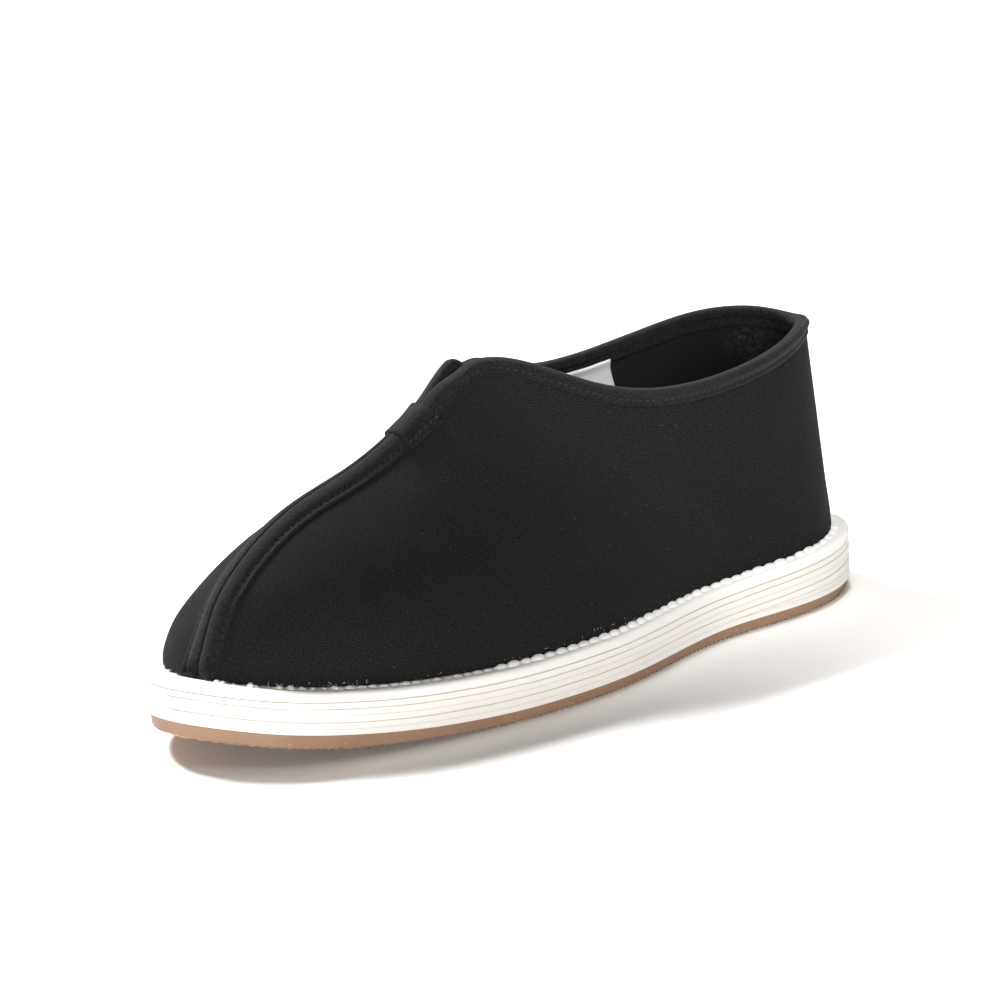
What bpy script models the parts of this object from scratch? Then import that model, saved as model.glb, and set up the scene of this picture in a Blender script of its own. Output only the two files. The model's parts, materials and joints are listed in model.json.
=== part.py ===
"""Chinese cloth shoe on a layered cloth sole, left foot, empty and standing on its sole.

Metres, +Z up. The toe points towards -Y and the wearer's left (outer) side is +X. The origin is under the
middle of the sole. The driving dimensions and the short tables below give the sole's outline, its
thickness along the foot, and the edge line of the upper: centre seam, slit and collar. Ribs run from that
edge line down to the sole, and upper, bindings, cross tab and label are all laid out on those ribs.
"""
import math

import bmesh
import bpy
from mathutils import Vector

# Driving dimensions
SOLE_LENGTH = 0.280
BALL_WIDTH = 0.100
INSTEP_HEIGHT = 0.0857
HEEL_HEIGHT = 0.0685
WALL = 0.0018
GAP = 0.0003

# Sole: thicknesses and toe spring
RUBBER_THICKNESS = 0.0042
RUBBER_INSET = 0.0018
LAYER_COUNT = 5
LAYERS_THICKNESS = 0.0105
TOP_LAYER_THICKNESS = 0.0036
TOP_LAYER_ROUND = 0.0013
LAYER_INSET = 0.0004
HEEL_WEDGE = 0.0029
WEDGE_START = 0.27
LIFT_THICKNESS = 0.00125
LIFT_1_START = 0.235
LIFT_2_START = 0.085
TOE_SPRING = 0.0115
TOE_SPRING_START = 0.60
INSOLE_THICKNESS = 0.003
INSOLE_CLEARANCE = 0.0024

# Sole outline: station from the heel as a fraction of the length, then the half widths on the
# outer and the inner side of the foot as fractions of the ball width
SOLE_OUTLINE = (
    (0.000, 0.000, 0.000),
    (0.015, 0.169, 0.169),
    (0.050, 0.271, 0.271),
    (0.100, 0.338, 0.335),
    (0.180, 0.364, 0.350),
    (0.280, 0.363, 0.335),
    (0.380, 0.422, 0.340),
    (0.480, 0.484, 0.390),
    (0.560, 0.498, 0.446),
    (0.630, 0.489, 0.483),
    (0.700, 0.466, 0.498),
    (0.780, 0.426, 0.484),
    (0.860, 0.360, 0.440),
    (0.930, 0.258, 0.364),
    (0.975, 0.116, 0.242),
    (1.000, -0.066, 0.066),
)

# Rim of the sole left bare round the upper: station, width in metres
SOLE_MARGIN = ((0.0, 0.0060), (0.12, 0.0051), (0.30, 0.0050), (0.60, 0.0050), (0.85, 0.0065), (1.0, 0.0070))

# Finished edge of the upper from the toe to the middle of the heel: station, half width in metres,
# height over the sole. The first rows are the closed centre seam, then come the slit and the collar.
EDGE_LINE = (
    (0.9720, 0.0000, 0.0000),
    (0.9660, 0.0000, 0.0045),
    (0.955, 0.0000, 0.0125),
    (0.935, 0.0000, 0.0245),
    (0.905, 0.0000, 0.0347),
    (0.860, 0.0000, 0.0452),
    (0.800, 0.0000, 0.0544),
    (0.730, 0.0000, 0.0614),
    (0.665, 0.0000, 0.0695),
    (0.614, 0.0000, 0.0773),
    (0.602, 0.0029, 0.0790),
    (0.572, 0.0033, INSTEP_HEIGHT - 0.0024),
    (0.545, 0.0040, INSTEP_HEIGHT),
    (0.520, 0.0076, INSTEP_HEIGHT),
    (0.480, 0.0148, 0.0820),
    (0.420, 0.0226, 0.0747),
    (0.340, 0.0277, 0.0690),
    (0.260, 0.0296, 0.0681),
    (0.180, 0.0289, 0.0690),
    (0.110, 0.0237, 0.0710),
    (0.064, 0.0152, 0.0712),
    (0.038, 0.0082, 0.0700),
    (0.0262, 0.0030, HEEL_HEIGHT + 0.0005),
    (0.0250, 0.0000, HEEL_HEIGHT),
)
SEAM_ROWS = 10

# Where each rib lands: its place along the edge line, then along the foot line, both as fractions
RIB_FEET = (
    (0.00, 0.000), (0.05, 0.060), (0.13, 0.165), (0.20, 0.250), (0.30, 0.370), (0.40, 0.480),
    (0.48, 0.560), (0.60, 0.660), (0.75, 0.780), (0.88, 0.890), (1.00, 1.000),
)

# Shape of the ribs: place along the edge line, slope where the rib leaves the edge and where it
# meets the sole in degrees from level, and how far each end keeps its direction
RIB_SHAPE = (
    (0.00, 6.0, 84.0, 1.10, 1.10),
    (0.10, 12.0, 82.0, 1.15, 1.15),
    (0.20, 20.0, 82.0, 1.10, 1.10),
    (0.32, 31.0, 83.0, 1.00, 0.95),
    (0.42, 41.0, 84.0, 0.90, 0.85),
    (0.50, 52.0, 86.0, 0.85, 0.80),
    (0.60, 68.0, 88.0, 0.85, 0.80),
    (0.75, 80.0, 90.0, 0.90, 0.80),
    (1.00, 84.0, 91.0, 0.90, 0.80),
)

# Binding: a folded strip, a bead with a flat stitched edge. Distance from the edge, rise over the wall.
BINDING_OUTSIDE = ((0.0070, 0.00065), (0.0057, 0.00075), (0.0048, 0.00135), (0.0030, 0.00175), (0.0012, 0.0016))
BINDING_INSIDE = ((0.0, 0.0010), (0.0018, 0.0011), (0.0037, 0.0009), (0.0046, 0.0006))
RIM_BINDING_SHARE = 0.62
EDGE_RISE = 0.0015
FOLD_ANGLES = (45.0, 90.0, 135.0)
SEAM_CREST = 0.0010
CENTRE_GAP = 0.00015
SLIT_END_REACH = 0.0006

# Cross tab over the two bindings: stations of its ends, then its section like the binding's
TAB_ENDS = (0.664, 0.618)
TAB_SECTION = ((0.0094, 0.00030), (0.0080, 0.00035), (0.0073, 0.00100), (0.0059, 0.00115),
               (0.0048, 0.00170), (0.0030, 0.00210), (0.0012, 0.00205))
TAB_THICKNESS = 0.0007
TAB_CREST = 0.0022

# Plain label patch inside the inner wall: stations of its ends, distances below the edge
LABEL_ENDS = (0.355, 0.222)
LABEL_DEPTHS = (0.0055, 0.0230)
LABEL_THICKNESS = 0.0004
LABEL_CLEARANCE = 0.0003

# Resolution
OUTLINE_SAMPLES = 240
SEAM_STEPS = 16
RIM_STEPS = 26
RIB_ROWS = 9
SOLE_STEPS = 30
JOIN_STEP = 3


class Curve:
    """Natural cubic spline through the rows of a table: the first column is the key."""

    def __init__(self, rows):
        self.keys = [row[0] for row in rows]
        self.columns = [list(column) for column in zip(*[row[1:] for row in rows])]
        self.bends = [self.second_slopes(column) for column in self.columns]

    def second_slopes(self, values):
        count = len(self.keys)
        ratio = [0.0] * count
        bend = [0.0] * count
        for i in range(1, count - 1):
            before = self.keys[i] - self.keys[i - 1]
            after = self.keys[i + 1] - self.keys[i]
            turn = (values[i + 1] - values[i]) / after - (values[i] - values[i - 1]) / before
            weight = 2.0 * (before + after) - before * ratio[i - 1]
            ratio[i] = after / weight
            bend[i] = (6.0 * turn - before * bend[i - 1]) / weight
        for i in range(count - 2, 0, -1):
            bend[i] -= ratio[i] * bend[i + 1]
        return bend

    def __call__(self, key):
        """Values at the key: a number for one column, a list for several."""
        key = min(max(key, self.keys[0]), self.keys[-1])
        i = max(k for k in range(len(self.keys) - 1) if self.keys[k] <= key)
        width = self.keys[i + 1] - self.keys[i]
        b = (key - self.keys[i]) / width
        a = 1.0 - b
        found = []
        for values, bends in zip(self.columns, self.bends):
            bend = ((a ** 3 - a) * bends[i] + (b ** 3 - b) * bends[i + 1]) * width * width / 6.0
            found.append(a * values[i] + b * values[i + 1] + bend)
        return found[0] if len(found) == 1 else found


def smooth(value):
    """0 to 1 with level ends."""
    value = min(max(value, 0.0), 1.0)
    return value * value * (3.0 - 2.0 * value)


# Sole: outline and levels

def round_key(station):
    """Stations as an angle, so that the outline's round ends are smooth."""
    return math.acos(1.0 - 2.0 * min(max(station, 0.0), 1.0))


OUTLINE = Curve([(round_key(row[0]), row[1], row[2]) for row in SOLE_OUTLINE])
MARGIN = Curve(SOLE_MARGIN)


def station_of(y):
    return 0.5 - y / SOLE_LENGTH


def inset_outline(side, inset):
    """Points of the outline on one side from heel to toe, moved inwards. The inset is a length or a
    function of the station."""
    points = []
    for i in range(OUTLINE_SAMPLES + 1):
        angle = math.pi * i / OUTLINE_SAMPLES
        width = inset((1.0 - math.cos(angle)) / 2.0) if callable(inset) else inset
        points.append(outline_at(side, angle, width))
    return points


def x_at(points, y):
    """Where the line through the points passes y."""
    for (x0, y0), (x1, y1) in zip(points, points[1:]):
        if y0 >= y >= y1 and y0 > y1:
            return x0 + (x1 - x0) * (y0 - y) / (y0 - y1)
    return points[0][0] if y > points[0][1] else points[-1][0]


def outline_at(side, angle, inset=0.0):
    """Point (x, y) of the sole's outline on one side (+1 outer, -1 inner), moved inwards by the inset."""
    step = 1e-4

    def plain(at):
        widths = OUTLINE(at)
        half = widths[0] if side > 0 else widths[1]
        return side * half * BALL_WIDTH, math.cos(at) * SOLE_LENGTH / 2.0

    low = plain(max(angle - step, 0.0))
    high = plain(min(angle + step, math.pi))
    x, y = plain(angle)
    tangent = Vector((high[0] - low[0], high[1] - low[1])).normalized()
    if angle < step or angle > math.pi - step:
        tangent = Vector((side if angle < step else -side, 0.0))
    outward = Vector((-tangent.y, tangent.x)) * side
    return x - outward.x * inset, y - outward.y * inset


def floor_level(station):
    """Underside of the rubber: flat from heel to ball, then the toe spring."""
    toe = max(station - TOE_SPRING_START, 0.0) / (1.0 - TOE_SPRING_START)
    return TOE_SPRING * toe * toe


def wedge(station):
    """Height that the heel lifts add."""
    reach = max(WEDGE_START - station, 0.0) / WEDGE_START
    return HEEL_WEDGE * reach * (1.0 - math.exp(-12.0 * reach)) / (1.0 - math.exp(-12.0))


def rubber_top(station):
    return floor_level(station) + RUBBER_THICKNESS


def layers_top(station):
    return rubber_top(station) + LAYERS_THICKNESS + wedge(station)


def sole_top(station):
    return layers_top(station) + TOP_LAYER_THICKNESS


def add_object(name, verts, faces, finish):
    """Closed mesh object with its faces turned outwards and its own material."""
    mesh = bpy.data.meshes.new(name)
    mesh.from_pydata([tuple(v) for v in verts], [], faces)
    work = bmesh.new()
    work.from_mesh(mesh)
    bmesh.ops.recalc_face_normals(work, faces=work.faces)
    if work.calc_volume(signed=True) < 0.0:
        bmesh.ops.reverse_faces(work, faces=work.faces)
    bmesh.ops.triangulate(work, faces=work.faces)
    work.to_mesh(mesh)
    work.free()
    obj = bpy.data.objects.new(name, mesh)
    bpy.context.scene.collection.objects.link(obj)
    color, roughness = finish
    material = bpy.data.materials.new(name + "_finish")
    material.use_nodes = True
    shader = material.node_tree.nodes["Principled BSDF"]
    shader.inputs["Base Color"].default_value = (*color, 1.0)
    shader.inputs["Roughness"].default_value = roughness
    shader.inputs["Metallic"].default_value = 0.0
    mesh.materials.append(material)
    return obj


def add_slab(name, sections, finish, start=1.0):
    """Flat piece of the sole. Each section is (inset, level), from the underside to the top.

    The level is a function of the station. A start below 1 ends the piece there with a straight edge,
    as the heel lifts do.
    """
    last = round_key(start)
    count = max(8, int(SOLE_STEPS * last / math.pi) + 1)
    pointed = start >= 1.0
    verts = []
    rings = []
    for inset, level in sections:
        lines = {side: inset_outline(side, inset) for side in (1, -1)}
        heel, toe = lines[1][0][1], lines[1][-1][1]
        middle, half = (heel + toe) / 2.0, (heel - toe) / 2.0
        ring = []
        for side, steps in ((1, range(0, count + 1)), (-1, range(count - 1 if pointed else count, 0, -1))):
            for i in steps:
                y = middle + half * math.cos(last * i / count)
                ring.append(len(verts))
                verts.append((x_at(lines[side], y), y, level(station_of(y))))
        rings.append(ring)
    faces = []
    for low, high in zip(rings, rings[1:]):
        for i in range(len(low)):
            k = (i + 1) % len(low)
            faces.append((low[i], low[k], high[k], high[i]))
    for ring in (rings[0], rings[-1]):
        size = len(ring)
        for i in range(count):
            quad = [ring[i], ring[i + 1], ring[(size - i - 1) % size], ring[(size - i) % size]]
            quad = [v for n, v in enumerate(quad) if v not in quad[:n]]
            if len(quad) > 2:
                faces.append(tuple(quad))
    return add_object(name, verts, faces, finish)


def build_sole():
    """Rubber, five thin layers, two heel lifts and the thick wrapped top layer, then the insole."""
    add_slab("outsole", [
        (RUBBER_INSET + 0.0008, floor_level),
        (RUBBER_INSET, lambda s: floor_level(s) + 0.0006),
        (RUBBER_INSET - 0.0002, lambda s: rubber_top(s) - GAP),
    ], RUBBER_FINISH)
    pitch = LAYERS_THICKNESS / LAYER_COUNT

    def layer_base(number, station):
        """Underside of a thin layer, number 1 at the top. The lifts lie on the lowest one."""
        raised = wedge(station) if number < LAYER_COUNT else 0.0
        return rubber_top(station) + pitch * (LAYER_COUNT - number) + raised

    for number in range(1, LAYER_COUNT + 1):
        inset = LAYER_INSET if number % 2 else 0.0
        add_slab("sole_layer_%d" % number, [
            (inset, lambda s, n=number: layer_base(n, s)),
            (inset, lambda s, n=number: layer_base(n, s) + pitch - GAP),
        ], LAYER_FINISH)

    def lift_base(station):
        return rubber_top(station) + pitch

    def lift_1_top(station):
        return lift_base(station) + max(min(LIFT_THICKNESS, wedge(station) - GAP), 0.0001)

    add_slab("heel_lift_1", [(LAYER_INSET, lift_base), (LAYER_INSET, lift_1_top)], LAYER_FINISH, LIFT_1_START)
    add_slab("heel_lift_2", [
        (LAYER_INSET, lambda s: lift_1_top(s) + GAP),
        (LAYER_INSET, lambda s: max(lift_base(s) + wedge(s) - GAP, lift_1_top(s) + GAP + 0.0001)),
    ], LAYER_FINISH, LIFT_2_START)
    add_slab("top_layer", [
        (0.0008, layers_top),
        (0.0, lambda s: layers_top(s) + 0.0009),
        (0.0, lambda s: sole_top(s) - TOP_LAYER_ROUND),
        (0.0005, lambda s: sole_top(s) - 0.0004),
        (TOP_LAYER_ROUND, sole_top),
    ], TOP_LAYER_FINISH)

    def inset(station):
        return MARGIN(station) + WALL + INSOLE_CLEARANCE

    add_slab("insole", [
        (inset, lambda s: sole_top(s) + GAP),
        (inset, lambda s: sole_top(s) + GAP + INSOLE_THICKNESS),
    ], INSOLE_FINISH)


# Upper: edge line, foot line and ribs

def edge_keys():
    """Edge rows as points, with their distances along the line as fractions of its length."""
    points = [Vector((row[1], (0.5 - row[0]) * SOLE_LENGTH, row[2])) for row in EDGE_LINE]
    reached = [0.0]
    for a, b in zip(points, points[1:]):
        reached.append(reached[-1] + (b - a).length)
    return [value / reached[-1] for value in reached]


EDGE_KEYS = edge_keys()
SPLIT = EDGE_KEYS[SEAM_ROWS - 1]
EDGE = Curve([(key, row[0], row[2]) for key, row in zip(EDGE_KEYS, EDGE_LINE)])
PARTING = Curve([(key, row[1]) for key, row in zip(EDGE_KEYS[SEAM_ROWS:], EDGE_LINE[SEAM_ROWS:])])
FOOT_OF_RIB = Curve(RIB_FEET)
SHAPE_OF_RIB = Curve(RIB_SHAPE)


def foot_lines():
    """Foot line of the upper on both sides, from the seam to the middle of the heel, with distances."""
    lines = {}
    for side in (1, -1):
        points = []
        for x, y in reversed(inset_outline(side, MARGIN)):
            points.append(Vector((x, y, 0.0)))
        lines[side] = points
    crossing = next(i for i, p in enumerate(lines[1]) if p.x > 0.0)
    a, b = lines[1][crossing - 1], lines[1][crossing]
    start = a.lerp(b, -a.x / (b.x - a.x))
    inner = [start] + list(reversed(lines[1][:crossing])) + lines[-1][1:]
    outer = [start] + lines[1][crossing:]
    found = {}
    for side, points in ((1, outer), (-1, inner)):
        reached = [0.0]
        for p, q in zip(points, points[1:]):
            reached.append(reached[-1] + (q - p).length)
        found[side] = (points, reached)
    return found


FOOT_LINES = foot_lines()


def foot_at(side, distance):
    """Point of the foot line at a distance from the seam, and the outward direction there."""
    points, reached = FOOT_LINES[side]
    distance = min(max(distance, 0.0), reached[-1])
    i = next(k for k in range(len(points) - 1) if reached[k + 1] >= distance)
    point = points[i].lerp(points[i + 1], (distance - reached[i]) / (reached[i + 1] - reached[i]))
    low = points[max(i - 1, 0)]
    high = points[min(i + 2, len(points) - 1)]
    along = (high - low).normalized()
    outward = Vector((-along.y, along.x, 0.0)) * -side
    if distance >= reached[-1] - 1e-6:
        outward = Vector((0.0, 1.0, 0.0))
    point.z = sole_top(station_of(point.y)) + GAP
    return point, outward


def edge_at(side, place):
    """Finished edge at a place along it (0 toe, 1 heel)."""
    station, height = EDGE(place)
    half = PARTING(place) if place > SPLIT else 0.0
    return Vector((side * half, (0.5 - station) * SOLE_LENGTH, sole_top(station) + height))


def edge_frame(side, place):
    """Wall's edge point with the directions outward, down and along."""
    step = 0.002
    low, high = max(place - step, 0.0), min(place + step, 1.0)
    if place > SPLIT:
        low = max(low, EDGE_KEYS[SEAM_ROWS])
    else:
        high = min(high, SPLIT)
    along = (edge_at(side, high) - edge_at(side, low)).normalized()
    if place >= 1.0:
        along = Vector((-side, 0.0, 0.0))
    level = Vector((along.x, along.y, 0.0))
    level = level.normalized() if level.length > 1e-6 else Vector((0.0, 1.0, 0.0))
    if place <= SPLIT:
        level = Vector((0.0, 1.0, 0.0))
    outward = Vector((level.y, -level.x, 0.0)) * side
    down = along.cross(outward) * side
    down.normalize()
    return edge_at(side, place) + down * EDGE_RISE, outward, down, along


class Rib:
    """One line over the upper's outside, from the wall's edge down to the sole."""

    samples = 28

    def __init__(self, side, place):
        self.side = side
        self.place = place
        self.top, self.outward, self.down, self.along = edge_frame(side, place)
        length = FOOT_LINES[side][1][-1]
        foot, foot_outward = foot_at(side, FOOT_OF_RIB(place) * length)
        leave, land, top_pull, foot_pull = SHAPE_OF_RIB(place)
        leave, land = math.radians(leave), math.radians(land)
        self.leave = leave
        self.foot_outward = foot_outward
        self.start = self.outward * math.cos(leave) + self.down * math.sin(leave)
        rise = foot_outward * math.cos(land) + Vector((0.0, 0.0, math.sin(land)))
        chord = (foot - self.top).length
        self.points = []
        for i in range(self.samples + 1):
            t = i / self.samples
            a = 2 * t ** 3 - 3 * t ** 2 + 1
            b = t ** 3 - 2 * t ** 2 + t
            c = -2 * t ** 3 + 3 * t ** 2
            d = t ** 3 - t ** 2
            self.points.append(self.top * a + self.start * (b * chord * top_pull)
                               + foot * c - rise * (d * chord * foot_pull))
        self.reached = [0.0]
        for p, q in zip(self.points, self.points[1:]):
            self.reached.append(self.reached[-1] + (q - p).length)

    def at(self, distance):
        distance = min(max(distance, 0.0), self.reached[-1])
        i = next(k for k in range(self.samples) if self.reached[k + 1] >= distance)
        span = max(self.reached[i + 1] - self.reached[i], 1e-9)
        return self.points[i].lerp(self.points[i + 1], (distance - self.reached[i]) / span)


def outside_normal(side, place, share):
    """Outward normal of the wall on the rib at a share of its length."""
    step = 0.004
    a = Rib(side, max(place - step, 0.0))
    b = Rib(side, min(place + step, 1.0))
    here = Rib(side, place)
    span = 0.02
    low, high = max(share - span, 0.0), min(share + span, 1.0)
    down = here.at(high * here.reached[-1]) - here.at(low * here.reached[-1])
    along = b.at(share * b.reached[-1]) - a.at(share * a.reached[-1])
    if place >= 1.0:
        along = Vector((-side, 0.0, 0.0))
    return (along.cross(down) * -side).normalized()


def places():
    """Places of the ribs along the edge, and the number of the last one on the closed seam."""
    seam = [SPLIT * (i / SEAM_STEPS) for i in range(SEAM_STEPS + 1)]
    first = EDGE_KEYS[SEAM_ROWS]
    rim = [first + (1.0 - first) * (i / RIM_STEPS) for i in range(RIM_STEPS + 1)]
    return seam + rim, SEAM_STEPS


def build_upper():
    """One hollow body: outer and inner grids over both sides, closed at the rim and the foot."""
    stops, split = places()
    last = len(stops) - 1
    verts = []
    index = {}

    def key_of(side, i, j, layer):
        if i == 0:
            return 0, 0, 0, layer
        if i == last or (j == 0 and i <= split):
            return 0, i, j, layer
        return side, i, j, layer

    def place_vertex(side, i, j, layer, point):
        key = key_of(side, i, j, layer)
        if key not in index:
            index[key] = len(verts)
            verts.append(point)

    for side in (1, -1):
        for i, place in enumerate(stops):
            rib = Rib(side, place)
            for j in range(RIB_ROWS + 1):
                share = j / RIB_ROWS
                outer = rib.at(share * rib.reached[-1])
                if i == 0:
                    outer = foot_at(side, 0.0)[0]
                    inner = outer + Vector((0.0, WALL, 0.0))
                elif j == RIB_ROWS:
                    inner = outer - rib.foot_outward * WALL
                    inner.z = sole_top(station_of(inner.y)) + GAP
                elif j == 0 and i <= split:
                    inner = outer + rib.down * (WALL / math.cos(rib.leave))
                else:
                    inner = outer - outside_normal(side, place, share) * WALL
                if i == last:
                    outer.x = inner.x = 0.0
                place_vertex(side, i, j, 0, outer)
                place_vertex(side, i, j, 1, inner)

    faces = []

    def add_face(*keys):
        corners = [index[key_of(*key)] for key in keys]
        corners = [v for n, v in enumerate(corners) if v not in corners[:n]]
        if len(corners) > 2:
            faces.append(tuple(corners))

    for side in (1, -1):
        for i in range(last):
            for j in range(RIB_ROWS):
                for layer in (0, 1):
                    add_face((side, i, j, layer), (side, i + 1, j, layer),
                             (side, i + 1, j + 1, layer), (side, i, j + 1, layer))
            add_face((side, i, RIB_ROWS, 0), (side, i + 1, RIB_ROWS, 0),
                     (side, i + 1, RIB_ROWS, 1), (side, i, RIB_ROWS, 1))
            if i >= split:
                add_face((side, i, 0, 0), (side, i + 1, 0, 0), (side, i + 1, 0, 1), (side, i, 0, 1))
    return add_object("upper", verts, faces, CLOTH_FINISH)


# Binding, tab and label on the ribs

def lerp_points(a, b, count):
    """Points strictly between a and b."""
    return [a.lerp(b, (i + 1) / (count + 1)) for i in range(count)]


FOLD_COUNT = len(BINDING_INSIDE) * 2 - 1 + len(FOLD_ANGLES) * 2


def seam_ring(outside, crest, base, under):
    """Ring of points for a binding that only lies on the wall, as along the closed seam."""
    return outside + [crest] + lerp_points(crest, base, FOLD_COUNT) + [base] + under


def binding_ring(side, place, mode):
    """Section of the binding: on the foot line, on the seam, in the slit's end, or folded over a rim."""
    rib = Rib(side, place)
    under_distances = (0.0030, 0.0070)
    if mode == "foot":
        outside, under = [], []
        for distance, rise in BINDING_OUTSIDE:
            point, outward = foot_at(side, distance)
            outside.append(point + outward * rise)
        for distance in under_distances:
            point, outward = foot_at(side, distance)
            under.append(point + outward * GAP)
        start, forward = foot_at(side, 0.0)
        crest = start + forward * SEAM_CREST + Vector((side * CENTRE_GAP, 0.0, 0.0))
        base = start + forward * GAP + Vector((side * CENTRE_GAP, 0.0, 0.0))
        ring = seam_ring(outside, crest, base, under)
        for point in ring:
            point.z = sole_top(station_of(point.y)) + GAP
            point.x = max(point.x * side, CENTRE_GAP) * side
        return ring
    length = rib.reached[-1]

    narrowing = smooth((place - SPLIT) / (EDGE_KEYS[SEAM_ROWS + 3] - SPLIT))
    share = 1.0 - (1.0 - RIM_BINDING_SHARE) * narrowing

    def raised(distance, rise):
        distance = min(distance * share, length * 0.98)
        return rib.at(distance) + outside_normal(side, place, distance / length) * rise

    outside = [raised(distance, rise) for distance, rise in BINDING_OUTSIDE]
    under = [raised(distance, GAP) for distance in under_distances]
    across = rib.outward * CENTRE_GAP
    if mode == "seam":
        crest = rib.top - rib.down * SEAM_CREST + across
        base = rib.top - rib.down * (GAP / math.cos(rib.leave)) + across
        ring = seam_ring(outside, crest, base, under)
        for point in ring:
            point.x = max(point.x * side, CENTRE_GAP) * side
        return ring
    normal = outside_normal(side, place, 0.0)
    if mode == "slit end":
        crest = rib.top + normal * SEAM_CREST - rib.start * EDGE_RISE
        base = rib.top + normal * GAP - rib.start * SLIT_END_REACH
        return seam_ring(outside, crest, base, under)
    middle = rib.top - normal * (WALL / 2.0)
    beyond = -rib.start

    def fold(angle, rise, reach):
        angle = math.radians(angle)
        return middle + normal * (math.cos(angle) * (WALL / 2.0 + rise)) + beyond * (math.sin(angle) * reach)

    def inside(distance, rise):
        if mode == "narrow":
            return rib.top + beyond * (SLIT_END_REACH - distance * 0.03) - normal * (WALL + rise)
        return rib.at(distance) - outside_normal(side, place, distance / length) * (WALL + rise)

    crest_rise = BINDING_INSIDE[0][1]
    ring = outside + [rib.top + normal * crest_rise]
    ring += [fold(angle, crest_rise, EDGE_RISE) for angle in FOLD_ANGLES]
    ring += [inside(distance, rise) for distance, rise in BINDING_INSIDE]
    ring += [inside(distance, GAP) for distance in (BINDING_INSIDE[-1][0], 0.0018, 0.0)]
    ring += [fold(angle, GAP, GAP * 1.5) for angle in reversed(FOLD_ANGLES)]
    ring += [rib.top + normal * GAP] + under
    return ring


def add_loft(name, rings, finish):
    """Closed body through rings of equal length, capped at both ends."""
    size = len(rings[0])
    verts = [point for ring in rings for point in ring]
    faces = []
    for r in range(len(rings) - 1):
        for i in range(size):
            k = (i + 1) % size
            faces.append((r * size + i, r * size + k, (r + 1) * size + k, (r + 1) * size + i))
    for r in (0, len(rings) - 1):
        faces.append(tuple(r * size + i for i in range(size)))
    return add_object(name, verts, faces, finish)


def build_bindings():
    """Outer binding runs on round the heel to the join. The inner one ends there."""
    stops, split = places()
    last = len(stops) - 1
    join = last - JOIN_STEP

    def ring_at(side, i):
        if i == 0:
            return binding_ring(side, 0.0, "foot")
        if i <= split:
            return binding_ring(side, stops[i], "seam")
        mode = {1: "slit end", 2: "narrow"}.get(i - split, "rim")
        return binding_ring(side, stops[i], mode)

    def shifted(ring, side, amount):
        along = Rib(side, stops[join]).along
        return [point + along * amount for point in ring]

    outer = [ring_at(1, i) for i in range(last + 1)]
    outer += [ring_at(-1, i) for i in range(last - 1, join, -1)]
    outer += [shifted(ring_at(-1, join), -1, GAP / 2.0)]
    inner = [ring_at(-1, i) for i in range(join)]
    inner += [shifted(ring_at(-1, join), -1, -GAP / 2.0)]
    add_loft("binding_outer_side", outer, BINDING_FINISH)
    add_loft("binding_inner_side", inner, BINDING_FINISH)


def place_at_station(station):
    """Place along the edge line where it passes a station."""
    low, high = 0.0, 1.0
    for _ in range(40):
        middle = (low + high) / 2.0
        if EDGE(middle)[0] > station:
            low = middle
        else:
            high = middle
    return low


def build_tab():
    """Small cloth strip stitched across both bindings below the slit."""
    first, final = (place_at_station(station) for station in TAB_ENDS)
    rings = []
    for i in range(7):
        place = first + (final - first) * i / 6.0
        under, over = [], []
        for side in (1, -1):
            rib = Rib(side, place)
            length = rib.reached[-1]
            low, high = [], []
            for distance, rise in TAB_SECTION:
                normal = outside_normal(side, place, distance / length)
                low.append(rib.at(distance) + normal * rise)
                high.append(rib.at(distance) + normal * (rise + TAB_THICKNESS))
            middle = rib.top - rib.down * TAB_CREST
            middle.x = 0.0
            if side > 0:
                under += low + [middle]
                over += high + [middle - rib.down * TAB_THICKNESS]
            else:
                under += reversed(low)
                over += reversed(high)
        rings.append(under + list(reversed(over)))
    add_loft("cross_tab", rings, BINDING_FINISH)


def build_label():
    """Plain white patch on the lining of the inner wall, below the binding. It carries no text."""
    first, final = (place_at_station(station) for station in LABEL_ENDS)
    rings = []
    for i in range(9):
        place = first + (final - first) * i / 8.0
        rib = Rib(-1, place)
        low, high = [], []
        for k in range(4):
            distance = LABEL_DEPTHS[0] + (LABEL_DEPTHS[1] - LABEL_DEPTHS[0]) * k / 3.0
            normal = outside_normal(-1, place, distance / rib.reached[-1])
            low.append(rib.at(distance) - normal * (WALL + LABEL_CLEARANCE))
            high.append(rib.at(distance) - normal * (WALL + LABEL_CLEARANCE + LABEL_THICKNESS))
        rings.append(low + list(reversed(high)))
    add_loft("label_patch", rings, LABEL_FINISH)


# Colour in linear values, roughness
CLOTH_FINISH = ((0.018, 0.019, 0.021), 0.95)
BINDING_FINISH = ((0.012, 0.0125, 0.014), 0.9)
LAYER_FINISH = ((0.80, 0.78, 0.74), 0.9)
TOP_LAYER_FINISH = ((0.76, 0.77, 0.78), 0.9)
RUBBER_FINISH = ((0.44, 0.28, 0.17), 0.6)
INSOLE_FINISH = ((0.45, 0.44, 0.42), 0.9)
LABEL_FINISH = ((0.80, 0.80, 0.80), 0.7)


def main():
    for obj in list(bpy.data.objects):
        bpy.data.objects.remove(obj, do_unlink=True)
    build_sole()
    build_upper()
    build_bindings()
    build_tab()
    build_label()


main()
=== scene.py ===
"""Chinese cloth shoe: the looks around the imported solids, laid out as a Blender add-on.

Metres, +Z up, toe towards -Y, the wearer's left (outer) side is +X. The upper's surface is worked out from
the same edge line, foot line and ribs as the solids, on a finer grid, and the bindings, tab, label, stitches
and fibres are all laid out on that grid.
"""
import json
import math

import bmesh
import bpy
import numpy as np
from mathutils import Matrix, Vector

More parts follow.
